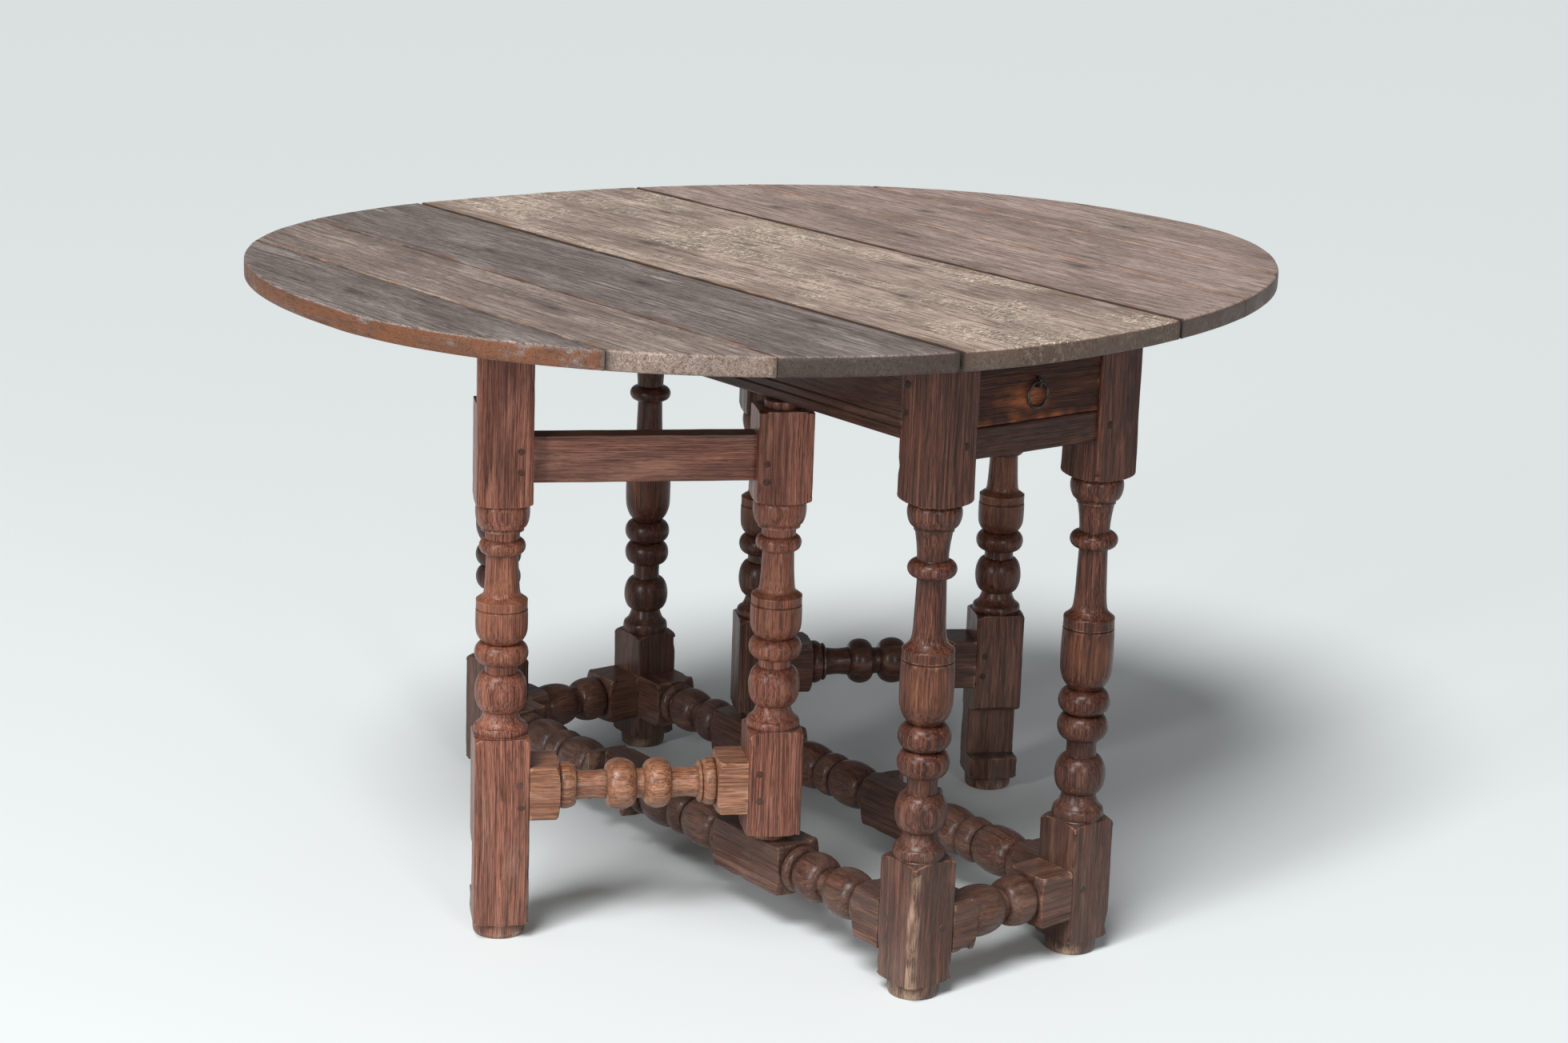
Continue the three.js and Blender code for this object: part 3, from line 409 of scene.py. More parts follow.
def make_piece(name, vertices, faces, look, body, replaces=(), matrix=None, grain=None, paint=None, sharp=34):
    """A mesh piece in millimetres around its own axes, placed by a matrix, with grain and wear attributes.
    paint(x, y, z) returns (pale, dust, orange, stain) for a vertex in the piece's own millimetres."""
    matrix = matrix or Matrix.Identity(4)
    mesh = bpy.data.meshes.new(name)
    mesh.from_pydata([matrix @ (Vector(v) * MM) for v in vertices], [], faces)
    mesh.validate()
    mesh.update()
    key = key_of(name)
    shift_x, shift_y, shift_z = GRAIN_SHIFT
    shift = Vector((shift_x * (key % 7) - 0.4, shift_y * (key % 5) - 0.3, shift_z * (key % 11)))
    lay = grain or (lambda x, y, z: (x, y, z))
    woods = [c for v in vertices for c in (Vector(lay(*v)) * MM + shift)]
    mesh.attributes.new("grain", "FLOAT_VECTOR", "POINT").data.foreach_set("vector", woods)
    edge, hollow_shade = edge_masks(mesh)
    painted = np.array([paint(*v) if paint else (0, 0, 0, 0) for v in vertices], float).reshape(-1, 4)
    if matrix.to_translation().z < 0.5:
        heights = np.array([v.co.z for v in mesh.vertices])
        dust = FLOOR_DUST * np.clip(1 - heights / DUST_HEIGHT, 0, 1) ** 1.3
        painted[:, 1] = np.maximum(painted[:, 1], dust)
    mask = np.column_stack((edge, hollow_shade, painted[:, 0]))
    for label, values in (("mask", mask), ("tint", painted[:, 1:4])):
        mesh.attributes.new(label, "FLOAT_VECTOR", "POINT").data.foreach_set("vector", values.ravel())
    slot, material = LOOKS[look]
    mesh.materials.append(material)
    mesh.set_sharp_from_angle(angle=math.radians(sharp))
    for polygon in mesh.polygons:
        polygon.use_smooth = True
    piece = add_object(name, mesh)
    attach(piece, body)
    if replaces:
        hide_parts(*replaces)
    return piece


def skin(rings, closed_ends=True):
    """Vertices and faces of a tube through rings of equal count."""
    count = len(rings[0])
    vertices = [p for ring in rings for p in ring]
    faces = []
    for i in range(len(rings) - 1):
        low, high = i * count, (i + 1) * count
        for j in range(count):
            k = (j + 1) % count
            faces.append((low + j, low + k, high + k, high + j))
    if closed_ends:
        faces.append(tuple(reversed(range(count))))
        last = (len(rings) - 1) * count
        faces.append(tuple(last + j for j in range(count)))
    return vertices, faces


SIDE_STEPS = (0, 0.15, 0.3, 0.45, 0.6, 0.74, 0.86, 0.93, 0.975, 1)


def rectangle(x0, x1, y0, y1, fillet):
    """Points around a rectangle with rounded corners, starting on the middle of its +X side."""
    middle_x, middle_y = (x0 + x1) / 2, (y0 + y1) / 2
    half_x, half_y = (x1 - x0) / 2, (y1 - y0) / 2
    points = []
    for side in range(4):
        for sign in (-1, 1):
            steps = SIDE_STEPS[1:][::-1] if sign < 0 else SIDE_STEPS[:-1]
            for step in steps:
                t = sign * step
                x, y = ((1, t), (-t, 1), (-1, -t), (t, -1))[side]
                points.append([x * half_x, y * half_y])
    fillet = min(fillet, half_x * 0.9, half_y * 0.9)
    for p in points:
        dx, dy = abs(p[0]) - (half_x - fillet), abs(p[1]) - (half_y - fillet)
        if dx > 0 and dy > 0:
            far = math.hypot(dx, dy)
            p[0] = math.copysign(half_x - fillet + dx * fillet / far, p[0])
            p[1] = math.copysign(half_y - fillet + dy * fillet / far, p[1])
    return [(middle_x + x, middle_y + y) for x, y in points]


# Turned profiles are lists of (place along the axis, radius).


def bead(z0, z1, r0, peak, r1, steps=10):
    points = []
    for i in range(steps + 1):
        turn = math.pi * i / steps
        part = (1 - math.cos(turn)) / 2
        radius = r0 + (r1 - r0) * part + (peak - (r0 + r1) / 2) * math.sin(turn)
        points.append((z0 + (z1 - z0) * part, radius))
    return points


def sweep(*knots, steps=5):
    """A smooth line through (z, r) knots."""
    points = []
    for i in range(len(knots) - 1):
        p0, p1, p2 = knots[max(i - 1, 0)], knots[i], knots[i + 1]
        p3 = knots[min(i + 2, len(knots) - 1)]
        for s in range(steps):
            t = s / steps
            points.append(tuple(
                0.5 * (2 * p1[k] + (p2[k] - p0[k]) * t + (2 * p0[k] - 5 * p1[k] + 4 * p2[k] - p3[k]) * t ** 2
                       + (3 * p1[k] - p0[k] - 3 * p2[k] + p3[k]) * t ** 3) for k in (0, 1)))
    points.append(knots[-1])
    return points


def score(z, radius, depth=0.9, width=2.4):
    return [(z - width / 2, radius), (z - width * 0.2, radius - depth), (z + width * 0.2, radius - depth),
            (z + width / 2, radius)]


FREE = 1e3       # radius of a stretch that is left square
ROLL = 8         # length of the rolled shoulder between a block and a turning
ROLL_STEPS = 6


def roll(z, way, half):
    """Stations of a shoulder that starts at z and runs into its block, upwards (+1) or downwards (-1)."""
    corner = half * math.sqrt(2) + 0.2
    turns = [math.pi / 2 * i / ROLL_STEPS for i in range(ROLL_STEPS + 1)]
    return [(z + way * ROLL * (1 - math.cos(t)), half + (corner - half) * math.sin(t)) for t in turns]


def block_run(z0, z1, half, roll_start, roll_end, pitch=9):
    """Stations of a square block, with rolled shoulders towards the turnings beside it."""
    stations = roll(z0, 1, half) if roll_start else []
    start = z0 + (ROLL + 1 if roll_start else 0)
    end = z1 - (ROLL + 1 if roll_end else 0)
    count = max(1, round((end - start) / pitch))
    stations += [(start + (end - start) * i / count, FREE) for i in range(count + 1)]
    if roll_end:
        stations += roll(z1, -1, half)[::-1]
    return stations


CORNER_WAYS = [(1, 1), (-1, 1), (-1, -1), (1, -1)]


def member(name, stations, half, look, body, matrix, limits=None, damage=None, paint=None, replaces=()):
    """A square post or stretcher with turned stretches. limits(z) may narrow its section at a lap, and
    damage(corner, z) cuts a corner back further."""
    key = key_of(name)
    clean = [stations[0]]
    for station in stations[1:]:
        if station[0] > clean[-1][0] + 0.02:
            clean.append(station)
    rings = []
    for z, radius in clean:
        x0, x1, y0, y1 = limits(z) if limits else (-half, half, -half, half)
        worn = 1.6 + 1.1 * wobble(z * 0.021, key * 1.7)
        ring = []
        cuts = []
        for corner in range(4):
            nick = max(0.0, wobble(z * 0.045, corner * 7.3, key) - 0.30) * 7
            cut = 0.9 + 0.9 * wobble(z * 0.016, corner * 3.1, key) + nick
            if damage:
                cut += damage(corner, z)
            cuts.append(max(0.2, cut))
        for x, y in rectangle(x0, x1, y0, y1, max(1.0, worn)):
            if radius >= FREE:
                for corner, (sx, sy) in enumerate(CORNER_WAYS):
                    reach = ((x1 if sx > 0 else -x0) + (y1 if sy > 0 else -y0)) / math.sqrt(2) - cuts[corner]
                    out = (x * sx + y * sy) / math.sqrt(2)
                    if out > reach:
                        x -= sx * (out - reach) / math.sqrt(2)
                        y -= sy * (out - reach) / math.sqrt(2)
            far = math.hypot(x, y)
            if far > radius:
                x, y = x * radius / far, y * radius / far
            bump = 0.22 * wobble(x * 0.06 + key, y * 0.06, z * 0.03)
            bump += 0.12 * wobble(x * 0.2, y * 0.2, z * 0.09 + key) - 0.2
            far = max(far, 1)
            ring.append((x * (1 + bump / far), y * (1 + bump / far), z))
        rings.append(ring)
    vertices, faces = skin(rings)
    return make_piece(name, vertices, faces, look, body, replaces, matrix, paint=paint)


def plank(name, low, high, along, look, body, replaces=(), fillet=1.5, matrix=None, paint=None, pitch=8):
    """A board between two corners (millimetres) with worn edges, its grain along axis 0, 1 or 2."""
    key = key_of(name)
    across = [axis for axis in (0, 1, 2) if axis != along]
    u0, u1 = low[across[0]], high[across[0]]
    v0, v1 = low[across[1]], high[across[1]]
    count = max(2, round((high[along] - low[along]) / pitch))
    rings = []
    for i in range(count + 1):
        w = low[along] + (high[along] - low[along]) * i / count
        worn = fillet * (1 + 0.5 * wobble(w * 0.03, key))
        ring = []
        for u, v in rectangle(u0, u1, v0, v1, worn):
            slack = 0.12 * wobble(u * 0.05, v * 0.05, w * 0.03 + key) - 0.12
            middle = ((u0 + u1) / 2, (v0 + v1) / 2)
            side = (u - middle[0], v - middle[1])
            u += slack * (1 if side[0] > 0 else -1) * (abs(side[0]) > (u1 - u0) * 0.45)
            v += slack * (1 if side[1] > 0 else -1) * (abs(side[1]) > (v1 - v0) * 0.45)
            place = [0, 0, 0]
            place[along], place[across[0]], place[across[1]] = w, u, v
            ring.append(tuple(place))
        rings.append(ring)
    vertices, faces = skin(rings)
    if along == 1:
        faces = [tuple(reversed(face)) for face in faces]
    order = (across[0], across[1], along)
    lay = lambda *p: tuple(p[k] for k in order)
    return make_piece(name, vertices, faces, look, body, replaces, matrix, grain=lay, paint=paint)


# ---------------------------------------------------------------- turned profiles of this table

LEG_PROFILE = (
    bead(157, 171.5, 26.5, 29.4, 26, 8)
    + sweep((172, 25.6), (176, 22.6), (182, 20.2), (187, 19))
    + bead(187.6, 231, 18.2, 28.8, 17.4, 16)
    + sweep((232, 17), (241, 16.8), (249.5, 17.2))
    + bead(250, 280, 18, 28.8, 18.5, 12)
    + bead(280.6, 309, 18.5, 29.3, 18.5, 12)
    + sweep((309.6, 18.6), (313, 21.6), (319, 25.4), (329, 28.6), (342, 29.4), (358, 29.5), (370.5, 29.2))
    + score(380, 28.8, 1.1, 2.6) + [(383, 28.5), (387, 28.4)]
    + sweep((388, 28.5), (392.5, 28.3), (396, 24), (402, 19.6), (416, 17.8), (440, 16.9), (469, 16))
    + bead(471, 490, 17, 26.8, 17.4, 10)
    + sweep((490.6, 17.0), (498, 17.2), (508, 18.2), (517, 19.6), (522, 20.4))
    + [(522.4, 21.8), (526, 21.8)]
    + bead(526.4, 551.4, 22.4, 29.4, 25.6, 12)
)

GATE_PROFILE = (
    bead(237, 247.6, 28.5, 30.8, 27.5, 8)
    + sweep((248, 27), (252, 23.4), (257, 21), (262.6, 19.6))
    + bead(263, 308, 18.8, 29.5, 18.6, 16)
    + sweep((308.6, 18.4), (313, 18.3), (317.4, 18.6))
    + bead(318, 342.6, 20, 30.3, 20.5, 12)
    + sweep((343, 21.4), (347, 25.2), (353, 28.2), (360, 29.2), (372, 29.4), (380, 29.2))
    + score(381.6, 29.0) + [(384, 28.8), (389, 28.9)]
    + sweep((391.6, 29), (394.5, 25), (398, 21), (410, 19.4), (428, 18.4), (443.4, 17.9))
    + bead(444, 461, 18.8, 26, 19.3, 8)
    + sweep((461.6, 19.3), (466, 19.4), (470.4, 19.8))
    + [(471, 24), (474.5, 24)]
    + bead(475, 501.6, 25, 30.2, 27.5, 12)
)


def reel(spans):
    """A stretcher's turning, from (length, kind, sizes) spans laid end to end."""
    points = []
    start = 0
    for length, kind, *sizes in spans:
        if kind == "bead":
            points += bead(start, start + length, sizes[0], sizes[1], sizes[2], 10 if length < 26 else 16)
        elif kind == "neck":
            rim, waist = sizes
            points += sweep((start + 0.3, rim), (start + length / 2, waist), (start + length - 0.3, rim))
        start += length
    return points, start


SHORT_REEL = reel([
    (12, "bead", 24, 27.5, 22), (4, "neck", 19, 18), (46, "bead", 17.4, 28.8, 17.4), (12, "neck", 17, 16.4),
    (38, "bead", 18.4, 28.6, 19), (3, "neck", 19, 18), (11, "bead", 22, 27.5, 24),
])
LONG_REEL = reel([
    (12, "bead", 24, 27.5, 22), (3, "neck", 19, 18), (49, "bead", 17.4, 28.8, 18), (23, "bead", 20, 27.2, 20),
    (49, "bead", 18, 28.8, 17.4), (3, "neck", 19, 18), (12, "bead", 22, 27.5, 24),
])
END_REEL = reel([
    (50, "bead", 21, 28.9, 18), (7, "neck", 17.4, 17), (36, "bead", 20, 28.6, 22),
])
GATE_REEL = reel([
    (15, "bead", 24, 27.2, 21), (5, "bead", 21, 24, 19), (30, "neck", 18, 16.6), (31, "bead", 18, 28.9, 17.6),
    (9, "neck", 17.2, 16.8), (34, "bead", 18, 29.5, 19), (34, "neck", 17, 15.8), (19, "bead", 21, 26.4, 24),
])


def placed(profile, start, end):
    points, length = profile
    scale = (end - start) / length
    return [(start + z * scale, r) for z, r in points]


# ---------------------------------------------------------------- frame

FOOT = 16


def foot_stations(half, radius):
    return [(0.4, radius - 2.5), (2.4, radius - 0.8), (6, radius - 0.1), (11, radius + 0.2),
            (FOOT - 1.2, radius + 0.3), (FOOT + 1.2, half * 1.28), (FOOT + 3.5, half * math.sqrt(2) - 1)]


def post_axes(node):
    low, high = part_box(node)
    middle = (low + high) / 2
    return Matrix.Translation((middle.x, middle.y, 0)), high.z / MM


def leg_damage(worn_corner, seed):
    """The corner of the front left leg is worn away towards the floor; other feet are only chipped."""
    def damage(corner, z):
        chip = 5.5 * max(0.0, 1 - z / 46) * (0.55 + 0.9 * wobble(z * 0.08, corner * 2.7, seed))
        if corner == worn_corner:
            chip += 2.6 * max(0.0, 1 - z / 120) + 1.2 * (z < 158) * (1 + wobble(z * 0.05, seed))
        return max(0.0, chip)
    return damage


def leg_paint(worn_corner, half):
    def paint(x, y, z):
        pale = 0.0
        if worn_corner is not None and z < 150:
            sx, sy = CORNER_WAYS[worn_corner]
            along = (x * sx + y * sy) / (half * 1.414)
            near = unit((along - 1.19 + 0.05 * wobble(z * 0.05, 2.2)) / 0.05)
            pale = near * (1.0 - 0.45 * z / 150) * (0.8 + 0.8 * wobble(x * 0.1, y * 0.1, z * 0.05))
        if z < 22:
            pale = max(pale, (1 - z / 22) * (0.5 + 0.9 * wobble(x * 0.09, y * 0.09, half)))
        orange = 0.22 * max(0, 1 - abs(z - 350) / 34) * (1 + wobble(x * 0.05, y * 0.05, z * 0.04))
        return (unit(pale), 0, orange, 0)
    return paint


def frame_leg(name, worn_corner=None):
    matrix, top = post_axes(name)
    low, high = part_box(name)
    half = (high.x - low.x) / MM / 2
    stations = foot_stations(half, half - 0.8) + block_run(FOOT + 5, 158, half, False, True)
    stations += LEG_PROFILE + block_run(552, top, half, True, False)
    member(name + "_turned", stations, half, "frame_dark", "frame", matrix,
           damage=leg_damage(worn_corner, key_of(name)), paint=leg_paint(worn_corner, half), replaces=(name,))


PEG_SIDES = 14
PEG_PROUD = 0.7          # millimetres out of the face the peg fills
PEG_SINK = 0.0002        # metres from the face of the wood back to the peg's own place


def peg_head(name, place, facing, radius, look, body, replaces=(), depth=6.0):
    """A riven oak peg, slightly many-sided, standing a little proud of the face it fills."""
    facing = Vector(facing).normalized()
    level = Vector((0, 0, 1)).cross(facing).normalized()
    up = facing.cross(level)
    matrix = Matrix((level, up, facing)).transposed().to_4x4()
    matrix = Matrix.Translation(place) @ matrix
    key = key_of(name)
    rings = []
    for z, r in ((-depth, 0.96), (PEG_PROUD - 0.7, 1.0), (PEG_PROUD - 0.25, 0.93), (PEG_PROUD - 0.05, 0.74),
                 (PEG_PROUD, 0.4)):
        ring = []
        for k in range(PEG_SIDES):
            c, s = math.cos(2 * math.pi * k / PEG_SIDES), math.sin(2 * math.pi * k / PEG_SIDES)
            uneven = radius * r * (1 + 0.07 * wobble(c * 2, s * 2, key))
            ring.append((uneven * c, uneven * s, z))
        rings.append(ring)
    vertices, faces = skin(rings)
    return make_piece(name, vertices, faces, look, body, replaces, matrix,
                      paint=lambda x, y, z: (0, 0, 0.1, 0.75))


def frame_pegs():
    def peg(name, place, facing, radius, **more):
        peg_head(name, place, facing, radius, "frame_dark", "frame", **more)

    for end, toward in (("front", 1), ("back", -1)):
        for side, way in (("left", -1), ("right", 1)):
            leg_low, leg_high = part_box(f"leg_{end}_{side}")
            leg_x, leg_y = (leg_low.x + leg_high.x) / 2, (leg_low.y + leg_high.y) / 2
            face_x = (leg_low.x if way < 0 else leg_high.x) - way * PEG_SINK
            face_y = (leg_low.y if toward > 0 else leg_high.y) + toward * PEG_SINK
            for i in (1, 2):
                node = f"peg_{end}_{side}_{i}"
                low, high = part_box(node)
                middle = (low + high) / 2
                peg(node + "_head", (face_x, middle.y, middle.z), (way, 0, 0), (high.z - low.z) / MM / 2,
                    replaces=(node,), depth=(high.x - low.x) / MM - 1)
            stretcher = center_of(f"long_stretcher_{side}").z
            for i, rise in ((1, 0.012), (2, -0.013)):
                peg(f"stretcher_peg_{end}_{side}_{i}", (face_x, leg_y + toward * 0.014, stretcher + rise),
                    (way, 0, 0), 4.2)
            rail = center_of("drawer_rail" if end == "front" else "back_apron")
            peg(f"rail_peg_{end}_{side}", (leg_x - way * 0.014, face_y, rail.z), (0, -toward, 0), 4.4)
            peg(f"end_peg_{end}_{side}", (leg_x - way * 0.013, face_y, stretcher + 0.006),
                (0, -toward, 0), 4.2)


def long_stretcher(side):
    """Blocks where the gate pivots and where its leg laps, with reels turned between them."""
    name = f"long_stretcher_{side}"
    way = 1 if side == "left" else -1
    middle = center_of(name)
    front, back = (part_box(f"leg_{end}_{side}") for end in ("front", "back"))
    clear = (back[0].y - front[1].y) / MM / 2
    y_middle = (back[0].y + front[1].y) / 2
    pivot = (center_of(f"gate_{side}_pivot_post").y - y_middle) * way / MM
    reach = (center_of(f"gate_{side}_outer_leg") - center_of(f"gate_{side}_pivot_post")).length / MM
    lap = pivot + reach
    low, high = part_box(name)
    half = (high.z - low.z) / MM / 2
    end = clear - 0.1
    spans = [(-end, -clear + 45, None), (-clear + 45, pivot - 42, SHORT_REEL), (pivot - 42, pivot + 84, None),
             (pivot + 84, lap - 43, LONG_REEL), (lap - 43, lap + 43, None), (lap + 43, clear - 45, LONG_REEL),
             (clear - 45, end, None)]
    stations = []
    for i, (start, stop, profile) in enumerate(spans):
        if profile:
            stations += placed(profile, start, stop)
        else:
            stations += block_run(start, stop, half, i > 0, i < len(spans) - 1, 7)
    notch = (lap - 32.5, lap + 32.5)
    stations = sorted(s for s in stations if not any(abs(s[0] - edge) < 3 for edge in notch))
    stations += [(edge + step, FREE) for edge in notch for step in (-1.4, -0.7, 0.7, 1.4)]
    stations.sort()

    def limits(z):
        x0 = -half
        if notch[0] < z < notch[1]:
            x0 = -half + 24.6
        elif notch[0] - 1 < z < notch[1] + 1:
            x0 = -half + 23.4
        return (x0, half, -half, half)

    leg_x = (front[0].x + front[1].x) / 2
    matrix = Matrix(((way, 0, 0, leg_x), (0, 0, way, y_middle), (0, -1, 0, middle.z), (0, 0, 0, 1)))
    member(name + "_turned", stations, half, "frame_dark", "frame", matrix, limits=limits,
           damage=lambda c, z: 1.6 * max(0, wobble(z * 0.02, c * 5.1, 3.3)), replaces=(name,))


def end_stretcher(end):
    name = f"end_stretcher_{end}"
    left, right = (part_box(f"leg_{end}_{side}") for side in ("left", "right"))
    clear = (right[0].x - left[1].x) / MM / 2
    low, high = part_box(name)
    half = (high.z - low.z) / MM / 2
    stop = clear - 0.1
    stations = block_run(-stop, -stop + 34, half, False, True, 5)
    stations += placed(END_REEL, -stop + 34.5, stop - 44.5)
    stations += block_run(stop - 44, stop, half, True, False, 5)
    matrix = Matrix(((0, 0, 1, (left[1].x + right[0].x) / 2), (1, 0, 0, (left[0].y + left[1].y) / 2),
                     (0, 1, 0, (low.z + high.z) / 2), (0, 0, 0, 1)))

    def damage(corner, z):
        eroded = end == "front" and z < -stop + 34
        return (2.4 if eroded else 0.9) * max(0, 0.7 + wobble(z * 0.09, corner * 5.1, 7.7))

    def paint(x, y, z):
        return (0.5 * max(0, wobble(x * 0.09, y * 0.09, z * 0.07) - 0.35), 0.15, 0.1, 0)

    member(name + "_turned", stations, half, "frame_dark", "frame", matrix,
           damage=damage, paint=paint, replaces=(name,))


def scratch_moulded(name, low, high, along, outer, look, replaces):
    """An apron board with two scratched lines along its lower edge. outer is +1 or -1 on its thin axis."""
    thin = 0 if along == 1 else 1
    key = key_of(name)
    t0, t1 = low[thin], high[thin]
    z0, z1 = low[2], high[2]
    face = t1 if outer > 0 else t0
    inner = t0 if outer > 0 else t1
    heights = [1.5, 6, 10.5, 12, 13.5, 18, 20, 21.5, 23, 30]
    heights += list(np.linspace(38, z1 - z0 - 3, 8)) + [z1 - z0 - 1]
    lines = []
    for h in heights:
        depth = 1.1 if h in (12, 21.5) else 0.0
        lines.append((face - outer * (0.25 + depth), z0 + h))
    section = [(face - outer * 1.6, z0 + 0.2)] + lines + [(face - outer * 1.5, z1), (inner + outer * 1.2, z1)]
    section += [(inner + outer * 0.2, z0 + h) for h in reversed(heights)] + [(inner + outer * 1.4, z0 + 0.2)]
    count = round((high[along] - low[along]) / 10)
    rings = []
    for i in range(count + 1):
        w = low[along] + (high[along] - low[along]) * i / count
        ring = []
        for t, z in section:
            t -= 0.12 * wobble(z * 0.05, w * 0.02, key)
            point = [0, 0, z]
            point[thin], point[along] = t, w
            ring.append(tuple(point))
        rings.append(ring)
    vertices, faces = skin(rings)
    if (along == 1) == (outer > 0):
        faces = [tuple(reversed(f)) for f in faces]
    lay = (lambda x, y, z: (x, z, y)) if along == 1 else (lambda x, y, z: (y, z, x))
    # The apron's dark stain of 0.45 is painted shade under the top.
    make_piece(name + "_moulded", vertices, faces, look, "frame", replaces, grain=lay,
               paint=lambda x, y, z: (0, 0.05, 0.1, 0.45))


def corners(node):
    low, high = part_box(node)
    return [c / MM for c in low], [c / MM for c in high]


def between_legs(node, axis, first, second):
    """A rail's corners, with its ends brought to the faces of the two legs it stands between."""
    low, high = corners(node)
    low[axis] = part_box(first)[1][axis] / MM + 0.1
    high[axis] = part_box(second)[0][axis] / MM - 0.1
    return low, high


def frame_rails():
    for side, outer in (("left", -1), ("right", 1)):
        name = f"side_apron_{side}"
        low, high = between_legs(name, 1, f"leg_front_{side}", f"leg_back_{side}")
        scratch_moulded(name, low, high, 1, outer, "frame_dark", (name,))
    low, high = between_legs("back_apron", 0, "leg_back_left", "leg_back_right")
    scratch_moulded("back_apron", low, high, 0, 1, "frame_dark", ("back_apron",))
    low, high = between_legs("drawer_rail", 0, "leg_front_left", "leg_front_right")
    # The rail's dark stain of 0.5 is painted shade under the top; the orange is wear.
    plank("drawer_rail_worn", low, high, 0, "frame_dark", "frame", ("drawer_rail",), fillet=2.2, pitch=4,
          paint=lambda x, y, z: (0, 0, 0.3 * max(0, wobble(x * 0.05, z * 0.1) + 0.2), 0.5))


# ---------------------------------------------------------------- gates


GATE_HALF = 31.0         # half the square of the gate's posts
COLLAR_GAP = 9           # bare pin between a post and the wood it turns in
COLLAR = 20.9            # radius of that pin


